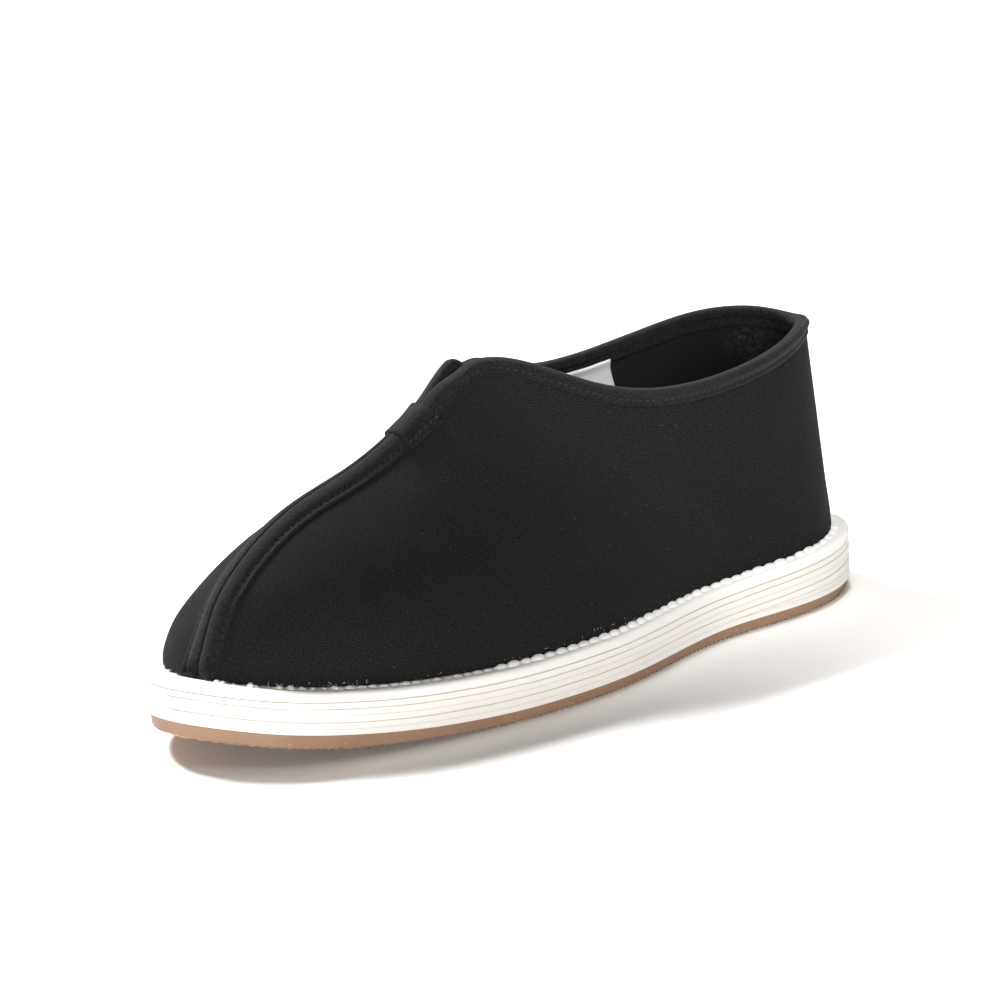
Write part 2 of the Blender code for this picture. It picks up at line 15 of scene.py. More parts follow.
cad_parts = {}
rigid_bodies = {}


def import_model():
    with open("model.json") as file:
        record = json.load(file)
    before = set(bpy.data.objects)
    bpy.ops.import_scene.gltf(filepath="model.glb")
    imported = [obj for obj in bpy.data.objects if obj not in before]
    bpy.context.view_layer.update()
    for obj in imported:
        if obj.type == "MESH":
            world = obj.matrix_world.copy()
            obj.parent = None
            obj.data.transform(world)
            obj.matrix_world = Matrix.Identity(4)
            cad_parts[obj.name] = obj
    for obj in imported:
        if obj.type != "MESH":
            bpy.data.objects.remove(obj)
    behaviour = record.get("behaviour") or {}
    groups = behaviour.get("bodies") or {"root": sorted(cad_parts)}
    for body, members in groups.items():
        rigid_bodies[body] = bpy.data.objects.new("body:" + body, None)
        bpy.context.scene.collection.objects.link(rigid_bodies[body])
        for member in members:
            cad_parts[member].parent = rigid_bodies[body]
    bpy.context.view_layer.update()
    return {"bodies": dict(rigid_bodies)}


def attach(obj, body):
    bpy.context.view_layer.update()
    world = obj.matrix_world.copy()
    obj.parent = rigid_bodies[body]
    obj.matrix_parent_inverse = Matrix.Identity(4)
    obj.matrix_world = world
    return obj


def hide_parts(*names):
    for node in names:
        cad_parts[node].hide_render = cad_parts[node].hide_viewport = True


bl_info = {
    "name": "Chinese cloth shoe",
    "version": (1, 0, 0),
    "blender": (4, 5, 0),
    "location": "3D View > Sidebar > Cloth Shoe",
    "description": "Builds the cloth, stitches, layered sole and stage of a black cloth shoe",
    "category": "Object",
}

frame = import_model()
ROOT = next(iter(frame["bodies"]))

# Driving dimensions of the solids
SOLE_LENGTH = 0.280
BALL_WIDTH = 0.100
INSTEP_HEIGHT = 0.0857
HEEL_HEIGHT = 0.0685
WALL = 0.0018
GAP = 0.0003
RUBBER_THICKNESS = 0.0042
RUBBER_INSET = 0.0018
LAYER_COUNT = 5
LAYERS_THICKNESS = 0.0105
TOP_LAYER_THICKNESS = 0.0036
HEEL_WEDGE = 0.0029
WEDGE_START = 0.27
LIFT_THICKNESS = 0.00125
LIFT_1_START = 0.235
LIFT_2_START = 0.150
TOE_SPRING = 0.0115
TOE_SPRING_START = 0.60
INSOLE_THICKNESS = 0.003
INSOLE_CLEARANCE = 0.0024

# Sole outline: station from the heel, half widths of the outer and inner side over the ball width
SOLE_OUTLINE = (
    (0.000, 0.000, 0.000), (0.015, 0.169, 0.169), (0.050, 0.271, 0.271), (0.100, 0.338, 0.335),
    (0.180, 0.364, 0.350), (0.280, 0.363, 0.335), (0.380, 0.422, 0.340), (0.480, 0.484, 0.390),
    (0.560, 0.498, 0.446), (0.630, 0.489, 0.483), (0.700, 0.466, 0.498), (0.780, 0.426, 0.484),
    (0.860, 0.360, 0.440), (0.930, 0.258, 0.364), (0.975, 0.116, 0.242), (1.000, -0.066, 0.066),
)
SOLE_MARGIN = ((0.0, 0.0060), (0.12, 0.0051), (0.30, 0.0050), (0.60, 0.0050), (0.85, 0.0065), (1.0, 0.0070))

# Finished edge of the upper: station, half width in metres, height over the sole
EDGE_LINE = (
    (0.9720, 0.0000, 0.0000), (0.9660, 0.0000, 0.0045), (0.955, 0.0000, 0.0125), (0.935, 0.0000, 0.0245),
    (0.905, 0.0000, 0.0347), (0.860, 0.0000, 0.0452), (0.800, 0.0000, 0.0544), (0.730, 0.0000, 0.0614),
    (0.665, 0.0000, 0.0695), (0.614, 0.0000, 0.0773), (0.602, 0.0029, 0.0790),
    (0.572, 0.0033, INSTEP_HEIGHT - 0.0024), (0.545, 0.0040, INSTEP_HEIGHT), (0.520, 0.0076, INSTEP_HEIGHT),
    (0.480, 0.0148, 0.0820), (0.420, 0.0226, 0.0747), (0.340, 0.0277, 0.0690), (0.260, 0.0296, 0.0681),
    (0.180, 0.0289, 0.0690), (0.110, 0.0237, 0.0710), (0.064, 0.0152, 0.0712), (0.038, 0.0082, 0.0700),
    (0.0262, 0.0030, HEEL_HEIGHT + 0.0005), (0.0250, 0.0000, HEEL_HEIGHT),
)
SEAM_ROWS = 10

# Where each rib lands: place along the edge line, then along the foot line
RIB_FEET = (
    (0.00, 0.000), (0.05, 0.060), (0.13, 0.165), (0.20, 0.250), (0.30, 0.370), (0.40, 0.480),
    (0.48, 0.560), (0.60, 0.660), (0.75, 0.780), (0.88, 0.890), (1.00, 1.000),
)

# Place along the edge line, slopes at the edge and at the sole in degrees, pull of each end
RIB_SHAPE = (
    (0.00, 6.0, 84.0, 1.10, 1.10), (0.10, 12.0, 82.0, 1.15, 1.15), (0.20, 20.0, 82.0, 1.10, 1.10),
    (0.32, 31.0, 83.0, 1.00, 0.95), (0.42, 41.0, 84.0, 0.90, 0.85), (0.50, 52.0, 86.0, 0.85, 0.80),
    (0.60, 68.0, 88.0, 0.85, 0.80), (0.75, 80.0, 90.0, 0.90, 0.80), (1.00, 84.0, 91.0, 0.90, 0.80),
)
EDGE_RISE = 0.0015
RIM_BINDING_SHARE = 0.62
TAB_ENDS = (0.664, 0.618)
LABEL_ENDS = (0.362, 0.234)
LABEL_DEPTHS = (0.0036, 0.0215)

# Finer detail that only the looks have
SLIT_START = 0.640
COLLAR_LIFT = 0.0015
HEEL_DROP = 0.0007
HEEL_DROP_START = 0.050
HEEL_DROP_END = 0.028
COLLAR_STATIONS = (0.625, 0.530, 0.380)
LIP_LIFT = 0.0026
LIP_LEAN = 0.0016
LIP_STATIONS = (0.618, 0.570, 0.535)
LIP_DROP = 0.0034
DROP_STATIONS = (0.566, 0.526, 0.420)
NEAR_LIP_LIFT = 0.0008
NEAR_LIP_LEAN = 0.0014
NEAR_LIP_STATIONS = (0.625, 0.595, 0.560)
SEAM_STEPS = 110
RIM_STEPS = 200
WALL_COLUMNS = 64
OUTLINE_STEPS = 360
SMOOTH_PASSES = 60
SIDE_PASSES = 500
DUST_STATION = 0.055
DUST_DEPTH = 0.0095

# Ramps (start, width) that smoothing and creases follow: by share of the rib from the edge to the foot, by
# station of the heel and of the sides, and by length of the rib
SMOOTH_RIB = ((0.02, 0.35), (1.0, -0.25))
SMOOTH_HEEL = (0.11, -0.05)
SMOOTH_HEEL_AMOUNT = 0.35
SMOOTH_HEEL_RIB = (0.0, 0.35)
SMOOTH_SIDES = ((0.20, 0.15), (0.84, -0.16))
CREASE_RIB = ((0.0, 0.16), (1.0, -0.10))
CREASE_LENGTH = (0.0, 0.03)
WAVE_HEIGHT = 0.00010

# Soft troughs and ridges of the upper: side, station, share of the rib, half sizes along the foot and down
# the rib in metres, turn in degrees, height (troughs are negative)
CREASES = (
    (1, 0.905, 0.62, 0.011, 0.0085, 20.0, -0.0008),
    (1, 0.870, 0.80, 0.018, 0.0090, 10.0, 0.0004),
    (1, 0.560, 0.35, 0.014, 0.0220, 12.0, -0.0002),
    (1, 0.430, 0.55, 0.026, 0.0160, -18.0, -0.0003),
    (1, 0.280, 0.45, 0.018, 0.0200, 8.0, 0.0003),
    (1, 0.130, 0.35, 0.014, 0.0160, 0.0, -0.0003),
    (-1, 0.890, 0.55, 0.012, 0.0080, -15.0, -0.0009),
    (-1, 0.700, 0.50, 0.030, 0.0090, 12.0, -0.0005),
    (-1, 0.560, 0.40, 0.007, 0.0240, -10.0, -0.0007),
    (-1, 0.430, 0.60, 0.020, 0.0100, 20.0, -0.0006),
    (-1, 0.240, 0.50, 0.012, 0.0180, 6.0, -0.0005),
    (-1, 0.120, 0.40, 0.010, 0.0180, 0.0, 0.0005),
)

# Slope of the cloth's ribs against the foot line: distance from the toe in metres, slope
GRAIN_SLOPE = ((0.0, 0.34), (0.03, 0.30), (0.10, 0.05), (0.17, -0.22), (0.24, -0.20), (0.33, -0.10))

# Camera fitted to the photograph: degrees, metres, and pixels of a 1000 pixel frame
CAMERA_AZIMUTH = 48.196
CAMERA_ELEVATION = 16.087
CAMERA_DISTANCE = 2.590
CAMERA_FOCAL_PIXELS = 8106.8
CAMERA_AIM_PIXELS = (505.37, 546.41)
CAMERA_ROLL = -3.083
CAMERA_TARGET = Vector((0.0, 0.0, 0.04))
FRAME_PIXELS = 1000
SENSOR_WIDTH = 36.0

# Softboxes: place, aim and size in metres, power in watts
SOFTBOXES = (
    ("key_softbox", (-0.97, -0.17, 1.26), (0.0, 0.0, 0.03), (0.34, 0.34), 53.0),
    ("front_softbox", (1.28, -1.24, 0.30), (0.0, 0.0, 0.04), (0.9, 0.4), 21.0),
    ("top_softbox", (0.6, -0.5, 1.5), (0.0, 0.0, 0.05), (0.6, 0.6), 2.5),
)

# Spots that lift the heel, the waist and the collar: place and aim in metres, cone in degrees, power in watts
SPOTS = (
    ("heel_fill", (0.050, 0.210, 1.1), (0.050, 0.210, 0.0), 10.5, 46.0),
    ("waist_fill", (0.110, 0.095, 1.1), (0.110, 0.095, 0.0), 10.0, 50.0),
    ("collar_fill", (0.60, -0.22, 1.00), (-0.030, 0.055, 0.080), 7.5, 100.0),
)
SPOT_RADIUS = 0.08
FLOOR_REACH = 12.0
FLOOR_COLOR = "#fbfbfb"
SURROUND_COLOR = "#ffe4ca"
SURROUND_STRENGTH = 0.13


def linear(code):
    """Linear RGB of an sRGB hex colour such as '#1f2122'."""
    values = [int(code[i:i + 2], 16) / 255.0 for i in (1, 3, 5)]
    return tuple(v / 12.92 if v <= 0.04045 else ((v + 0.055) / 1.055) ** 2.4 for v in values)


class Curve:
    """Natural cubic spline through the rows of a table: the first column is the key."""

    def __init__(self, rows):
        rows = np.array(rows, float)
        self.keys = rows[:, 0]
        self.values = rows[:, 1:]
        count = len(rows)
        steps = np.diff(self.keys)
        matrix = np.eye(count)
        turns = np.zeros_like(self.values)
        for i in range(1, count - 1):
            matrix[i, i - 1:i + 2] = steps[i - 1], 2.0 * (steps[i - 1] + steps[i]), steps[i]
            after = (self.values[i + 1] - self.values[i]) / steps[i]
            before = (self.values[i] - self.values[i - 1]) / steps[i - 1]
            turns[i] = 6.0 * (after - before)
        self.bends = np.linalg.solve(matrix, turns)

    def __call__(self, key):
        """One row of values for each key, or one value where the table has one column."""
        key = np.clip(np.asarray(key, float), self.keys[0], self.keys[-1])
        i = np.clip(np.searchsorted(self.keys, key, side="right") - 1, 0, len(self.keys) - 2)
        width = (self.keys[i + 1] - self.keys[i])[..., None]
        b = (key - self.keys[i])[..., None] / width
        a = 1.0 - b
        bend = ((a ** 3 - a) * self.bends[i] + (b ** 3 - b) * self.bends[i + 1]) * width * width / 6.0
        found = a * self.values[i] + b * self.values[i + 1] + bend
        return found[..., 0] if found.shape[-1] == 1 else found


def smooth(value):
    """0 to 1 with level ends."""
    value = np.clip(value, 0.0, 1.0)
    return value * value * (3.0 - 2.0 * value)


def ramp(value, start, width):
    """0 to 1 with level ends, from a start over a width. A negative width leads to lower values."""
    return smooth((value - start) / width)


def unit(vectors):
    """The vectors with a length of one."""
    return vectors / np.maximum(np.linalg.norm(vectors, axis=-1, keepdims=True), 1e-12)


def distances(points):
    """Distance reached at each point of a line."""
    steps = np.linalg.norm(np.diff(points, axis=-2), axis=-1)
    return np.concatenate([np.zeros_like(steps[..., :1]), np.cumsum(steps, axis=-1)], axis=-1)


def read_line(at, reached, line):
    """Points of a line at distances along it."""
    return np.stack([np.interp(at, reached, line[:, k]) for k in range(line.shape[1])], -1)


# Sole: outline and levels

def round_key(station):
    """Angle from the heel (0) to the toe (pi) that a station stands for, so that both ends come out round."""
    return np.arccos(1.0 - 2.0 * np.clip(station, 0.0, 1.0))


OUTLINE = Curve([(float(round_key(row[0])), row[1], row[2]) for row in SOLE_OUTLINE])
MARGIN = Curve(SOLE_MARGIN)


def margin_at(angle):
    """Width of the bare sole outside the upper at angles from heel to toe."""
    return MARGIN((1.0 - np.cos(angle)) / 2.0)


def station_of(y):
    return 0.5 - y / SOLE_LENGTH


def outline_at(side, angle, inset=0.0):
    """Points (x, y) of the sole's outline on one side, from heel (0) to toe (pi), moved inwards."""
    step = 1e-4
    column = 0 if side > 0 else 1

    def plain(at):
        return np.stack([side * OUTLINE(at)[..., column] * BALL_WIDTH, np.cos(at) * SOLE_LENGTH / 2.0], -1)

    tangent = unit(plain(np.minimum(angle + step, math.pi)) - plain(np.maximum(angle - step, 0.0)))
    tangent = np.where((angle < step)[..., None], np.array([side, 0.0]), tangent)
    tangent = np.where((angle > math.pi - step)[..., None], np.array([-side, 0.0]), tangent)
    outward = np.stack([-tangent[..., 1], tangent[..., 0]], -1) * side
    return plain(angle) - outward * np.asarray(inset)[..., None]


def floor_level(station):
    """Underside of the rubber, with its spring at the toe."""
    toe = np.maximum(station - TOE_SPRING_START, 0.0) / (1.0 - TOE_SPRING_START)
    return TOE_SPRING * toe * toe


def wedge(station):
    """Height that the two lifts add under the heel."""
    reach = np.maximum(WEDGE_START - station, 0.0) / WEDGE_START
    return HEEL_WEDGE * reach * (1.0 - np.exp(-12.0 * reach)) / (1.0 - math.exp(-12.0))


def rubber_top(station):
    return floor_level(station) + RUBBER_THICKNESS


def layers_top(station):
    return rubber_top(station) + LAYERS_THICKNESS + wedge(station)


def sole_top(station):
    return layers_top(station) + TOP_LAYER_THICKNESS


# Upper: edge line, foot line and the grid of its outside

def edge_keys():
    points = np.array([(row[1], (0.5 - row[0]) * SOLE_LENGTH, row[2]) for row in EDGE_LINE])
    reached = distances(points)
    return reached / reached[-1]


EDGE_KEYS = edge_keys()
EDGE = Curve([(key, row[0], row[2]) for key, row in zip(EDGE_KEYS, EDGE_LINE)])
PARTING = Curve([(key, row[1]) for key, row in zip(EDGE_KEYS[SEAM_ROWS:], EDGE_LINE[SEAM_ROWS:])])
FOOT_OF_RIB = Curve(RIB_FEET)
SHAPE_OF_RIB = Curve(RIB_SHAPE)


def place_at_station(station):
    """Place along the edge line where it passes a station."""
    low, high = 0.0, 1.0
    for _ in range(40):
        middle = (low + high) / 2.0
        if EDGE(middle)[0] > station:
            low = middle
        else:
            high = middle
    return low


SPLIT = place_at_station(SLIT_START)


def edge_points(side, place):
    """Finished edge at places along it. The slit opens softly from under the cross tab."""
    place = np.asarray(place, float)
    found = EDGE(place)
    station, height = found[..., 0], found[..., 1]
    opening = smooth((place - SPLIT) / (EDGE_KEYS[SEAM_ROWS + 1] - SPLIT))
    half = np.where(place > SPLIT, PARTING(place) * opening, 0.0)

    def hump(first, peak, last):
        return smooth((first - station) / (first - peak)) * smooth((station - last) / (peak - last))

    height = height + COLLAR_LIFT * hump(*COLLAR_STATIONS)
    height = height - HEEL_DROP * smooth((HEEL_DROP_START - station) / (HEEL_DROP_START - HEEL_DROP_END))
    if side < 0:
        height = height + LIP_LIFT * hump(*LIP_STATIONS) - LIP_DROP * hump(*DROP_STATIONS)
        half = half - LIP_LEAN * hump(*LIP_STATIONS)
    else:
        height = height + NEAR_LIP_LIFT * hump(*NEAR_LIP_STATIONS)
        half = half - NEAR_LIP_LEAN * hump(*NEAR_LIP_STATIONS)
    return np.stack([side * half, (0.5 - station) * SOLE_LENGTH, sole_top(station) + height], -1)


def foot_line(side):
    """Foot line of the upper from the seam to the middle of the heel."""
    angle = np.linspace(0.0, math.pi, 601)
    lines = {s: outline_at(s, angle, margin_at(angle))[::-1] for s in (1, -1)}
    outer = lines[1]
    crossing = int(np.argmax(outer[:, 0] > 0.0))
    a, b = outer[crossing - 1], outer[crossing]
    start = a + (b - a) * (-a[0] / (b[0] - a[0]))
    if side > 0:
        return np.concatenate([[start], outer[crossing:]])
    return np.concatenate([[start], outer[:crossing][::-1], lines[-1][1:]])


class Wall:
    """Outside of the upper on one side: rows are ribs from the toe to the heel, columns go down the rib."""

    def __init__(self, side, places):
        self.side = side
        self.places = places
        foot = foot_line(side)
        reached = distances(foot)
        at = FOOT_OF_RIB(places) * reached[-1]
        self.foot_distance = at
        feet = read_line(at, reached, foot)
        step = 0.0004
        ahead = read_line(np.minimum(at + step, reached[-1]), reached, foot)
        along = unit(ahead - read_line(np.maximum(at - step, 0.0), reached, foot))
        self.foot_outward = np.stack([along[:, 1], -along[:, 0], np.zeros(len(at))], -1) * side
        self.foot_outward[-1] = (0.0, 1.0, 0.0)
        feet = np.concatenate([feet, (sole_top(station_of(feet[:, 1])) + GAP)[:, None]], -1)

        reach = 0.0015
        edge = edge_points(side, places)
        self.along = unit(edge_points(side, np.minimum(places + reach, 1.0))
                          - edge_points(side, np.maximum(places - reach, 0.0)))
        self.along[-1] = (-side, 0.0, 0.0)
        level = self.along * (1.0, 1.0, 0.0)
        level = unit(np.where(np.abs(level).sum(-1, keepdims=True) > 1e-6, level, (0.0, 1.0, 0.0)))
        self.outward = np.stack([level[:, 1], -level[:, 0], np.zeros(len(at))], -1) * side
        self.down = unit(np.cross(self.along, self.outward) * side)
        top = edge + self.down * EDGE_RISE

        leave, land, top_pull, foot_pull = SHAPE_OF_RIB(places).T[:, :, None]
        leave, land = np.radians(leave), np.radians(land)
        self.start = self.outward * np.cos(leave) + self.down * np.sin(leave)
        rise = self.foot_outward * np.cos(land) + np.array((0.0, 0.0, 1.0)) * np.sin(land)
        chord = np.linalg.norm(feet - top, axis=-1, keepdims=True)
        t = np.linspace(0.0, 1.0, 97)[None, :, None]
        a = 2 * t ** 3 - 3 * t ** 2 + 1
        b = t ** 3 - 2 * t ** 2 + t
        c = -2 * t ** 3 + 3 * t ** 2
        d = t ** 3 - t ** 2
        curve = (top[:, None] * a + (self.start * chord * top_pull)[:, None] * b
                 + feet[:, None] * c - (rise * chord * foot_pull)[:, None] * d)
        self.points = self.spaced(curve)

    def spaced(self, curve):
        """The ribs with their points at equal distances."""
        found = np.empty((len(curve), WALL_COLUMNS + 1, 3))
        for i, line in enumerate(curve):
            reached = distances(line)
            found[i] = read_line(np.linspace(0.0, reached[-1], WALL_COLUMNS + 1), reached, line)
        return found

    def measure(self, normals):
        """Keeps the finished grid's normals and the distances down its ribs."""
        self.normals = normals
        self.reached = distances(self.points)

    def at(self, row, distance, rise=0.0):
        """Points on one rib at distances below the wall's edge, raised along the wall's normal."""
        distance = np.asarray(distance, float)
        reached = self.reached[row]
        point = read_line(distance, reached, self.points[row])
        normal = read_line(distance, reached, self.normals[row])
        return point + unit(normal) * np.asarray(rise)[..., None]

    def row_at(self, station):
        """Number of the rib that starts nearest to a station of the edge."""
        return int(np.argmin(np.abs(self.places - place_at_station(station))))


def crease_height(side, stations, along, down, length):
    """Height of the soft troughs and ridges over the smooth wall."""
    height = np.zeros_like(down)
    for crease_side, station, share, half_along, half_down, turn, rise in CREASES:
        if crease_side != side:
            continue
        row = int(np.argmin(np.abs(stations - station)))
        x = along - along[row, :1]
        y = down - share * length[row]
        angle = math.radians(turn)
        u = (x * math.cos(angle) + y * math.sin(angle)) / half_along
        v = (-x * math.sin(angle) + y * math.cos(angle)) / half_down
        height += rise * np.exp(-(u * u + v * v))
    # Slack of the cloth: waves 33 mm long one way and 42 mm the other, with diagonal ones of 16 mm
    waves = (np.sin(along * 190.0 + side) * np.sin(down * 150.0 + 1.3)
             + 0.6 * np.sin(along * 330.0 + down * 210.0 + 2.0 * side))
    return height + WAVE_HEIGHT * waves


def ring_halves(count):
    """Rows of each side in the grid that goes round the shoe, and the step that puts the toe first."""
    return ((1, slice(0, count), 1), (-1, slice(count - 1, None), -1))


def build_walls():
    """Both sides of the upper, smoothed over the slit's end and the heel, with their creases."""
    seam = SPLIT * np.linspace(0.0, 1.0, SEAM_STEPS + 1)
    rim = SPLIT + (1.0 - SPLIT) * np.linspace(0.0, 1.0, RIM_STEPS + 1)[1:]
    places = np.concatenate([seam, rim])
    walls = {side: Wall(side, places) for side in (1, -1)}
    count = len(places)
    ring = np.concatenate([walls[1].points, walls[-1].points[-2::-1]])
    share = np.linspace(0.0, 1.0, WALL_COLUMNS + 1)
    weight = (ramp(share, *SMOOTH_RIB[0]) * ramp(share, *SMOOTH_RIB[1]))[None, :, None]
    stations = EDGE(places)[..., 0]
    heel = ramp(stations, *SMOOTH_HEEL) * SMOOTH_HEEL_AMOUNT
    heel = np.concatenate([heel, heel[-2::-1]])[:, None] * (1.0 - ramp(share, *SMOOTH_HEEL_RIB))[None, :]
    weight = np.maximum(weight, heel[..., None])
    side_rows = ramp(stations, *SMOOTH_SIDES[0]) * ramp(stations, *SMOOTH_SIDES[1])
    side_rows = np.concatenate([side_rows, side_rows[-2::-1]])[:, None, None]
    for turn in range(SMOOTH_PASSES + SIDE_PASSES):
        soft = ring.copy()
        soft[1:-1] = (ring[:-2] + 2.0 * ring[1:-1] + ring[2:]) / 4.0
        amount = weight if turn < SMOOTH_PASSES else weight * side_rows
        ring = ring + amount * (soft - ring)
    ring[0] = ring[0, -1]
    ring[-1] = ring[0]
    ring[count - 1, :, 0] = 0.0
    ring = add_creases(ring, walls, count)
    normals = ring_normals(ring)
    for side, part, step in ring_halves(count):
        walls[side].points = ring[part][::step].copy()
        walls[side].measure(normals[part][::step].copy())
    return walls


def ring_normals(ring):
    """Outward normals of the grid that goes from the toe round the heel and back."""
    around = np.empty_like(ring)
    around[1:-1] = ring[2:] - ring[:-2]
    around[0] = ring[1] - ring[0]
    around[-1] = ring[-1] - ring[-2]
    down = np.empty_like(ring)
    down[:, 1:-1] = ring[:, 2:] - ring[:, :-2]
    down[:, 0] = ring[:, 1] - ring[:, 0]
    down[:, -1] = ring[:, -1] - ring[:, -2]
    normals = unit(-np.cross(around, down))
    normals[0] = normals[-1] = (0.0, -1.0, 0.0)
    return normals


def add_creases(ring, walls, count):
    """Moves the grid along its normals by the creases, which fade out at the edge, the foot and the toe."""
    normals = ring_normals(ring)
    for side, part, step in ring_halves(count):
        points = ring[part][::step]
        down = distances(points)
        length = down[:, -1]
        share = down / np.maximum(length[:, None], 1e-9)
        along = walls[side].foot_distance[:, None] * np.ones_like(down)
        stations = EDGE(walls[side].places)[..., 0]
        height = crease_height(side, stations, along, down, length)
        height *= (ramp(share, *CREASE_RIB[0]) * ramp(share, *CREASE_RIB[1])
                   * ramp(length[:, None], *CREASE_LENGTH))
        ring[part] = (points + normals[part][::step] * height[..., None])[::step]
    return ring


WALLS = build_walls()
LAST_ROW = len(WALLS[1].places) - 1


# Meshes

def make_object(name, verts, faces, materials, uv=None, face_material=None, shades=None, smooth_faces=True):
    """Mesh object. The uv map is (u, v) in metres for each vertex, and shades are named vertex values."""
    mesh = bpy.data.meshes.new(name)
    mesh.from_pydata([tuple(v) for v in verts], [], faces)
    for material in materials:
        mesh.materials.append(material)
    if face_material is not None:
        mesh.polygons.foreach_set("material_index", face_material)
    if uv is not None:
        layer = mesh.uv_layers.new(name="Cloth")
        corner = np.empty(len(mesh.loops), int)
        mesh.loops.foreach_get("vertex_index", corner)
        layer.data.foreach_set("uv", np.asarray(uv, np.float32)[corner].ravel())
    for key, values in (shades or {}).items():
        attribute = mesh.attributes.new(key, "FLOAT", "POINT")
        attribute.data.foreach_set("value", np.asarray(values, np.float32))
    mesh.polygons.foreach_set("use_smooth", [smooth_faces and len(face) < 5 for face in faces])
    obj = bpy.data.objects.new(name, mesh)
    bpy.context.scene.collection.objects.link(obj)
    return obj


def tidy_mesh(obj, distance=1e-6):
    """Merges doubled points and turns the faces outwards."""
    work = bmesh.new()
    work.from_mesh(obj.data)
    bmesh.ops.remove_doubles(work, verts=work.verts, dist=distance)
    bmesh.ops.dissolve_degenerate(work, dist=1e-7, edges=work.edges)
    bmesh.ops.recalc_face_normals(work, faces=work.faces)
    work.to_mesh(obj.data)
    work.free()
    return obj


def finish_piece(obj, slot, *nodes):
    """Rides on the shoe's one body and stands for its solids. Its slot is not used."""
    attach(obj, ROOT)
    if nodes:
        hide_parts(*nodes)
    return obj


def loft_faces(rows, columns, closed, first=0):
    """Quads between rows of points. A closed loft joins its last column to its first."""
    faces = []
    for r in range(rows - 1):
        for c in range(columns if closed else columns - 1):
            k = (c + 1) % columns
            a, b = first + r * columns, first + (r + 1) * columns
            faces.append((a + c, a + k, b + k, b + c))
    return faces


def tube_faces(count, size):
    """Faces of a closed loft through a number of rings of one size, with a cap on each end."""
    last = (count - 1) * size
    return loft_faces(count, size, True) + [tuple(range(size)), tuple(range(last, last + size))]


def line_object(name, points, ups):
    """Open line of edges that Geometry Nodes turn into a curve. Its 'up' leads away from the cloth."""
    mesh = bpy.data.meshes.new(name)
    mesh.from_pydata([tuple(p) for p in points], [(i, i + 1) for i in range(len(points) - 1)], [])
    attribute = mesh.attributes.new("up", "FLOAT_VECTOR", "POINT")
    attribute.data.foreach_set("vector", np.asarray(ups, np.float32).ravel())
    obj = bpy.data.objects.new(name, mesh)
    bpy.context.scene.collection.objects.link(obj)
    return obj


# Materials

def add(tree, kind, inputs=None, **settings):
    """Adds a node with its settings. An input is a plain value or another node's socket."""
    node = tree.nodes.new(kind)
    for key, value in settings.items():
        setattr(node, key, value)
    for key, value in (inputs or {}).items():
        if isinstance(value, bpy.types.NodeSocket):
            tree.links.new(value, node.inputs[key])
        else:
            node.inputs[key].default_value = value
    return node


def new_material(name, roughness, sheen=0.0, sheen_roughness=0.5, specular=0.5):
    """Material with its node tree and its shader. Pattern scales are grains per metre."""
    material = bpy.data.materials.new(name)
    material.use_nodes = True
    tree = material.node_tree
    shader = tree.nodes["Principled BSDF"]
    shader.inputs["Roughness"].default_value = roughness
    shader.inputs["Specular IOR Level"].default_value = specular
    shader.inputs["Sheen Weight"].default_value = sheen
    shader.inputs["Sheen Roughness"].default_value = sheen_roughness
    return material, tree, shader


def rgba(color):
    """The colour with full opacity."""
    return (color[0], color[1], color[2], 1.0)


def shade(color, factor):
    """The colour made lighter or darker."""
    return tuple(min(c * factor, 1.0) for c in color)


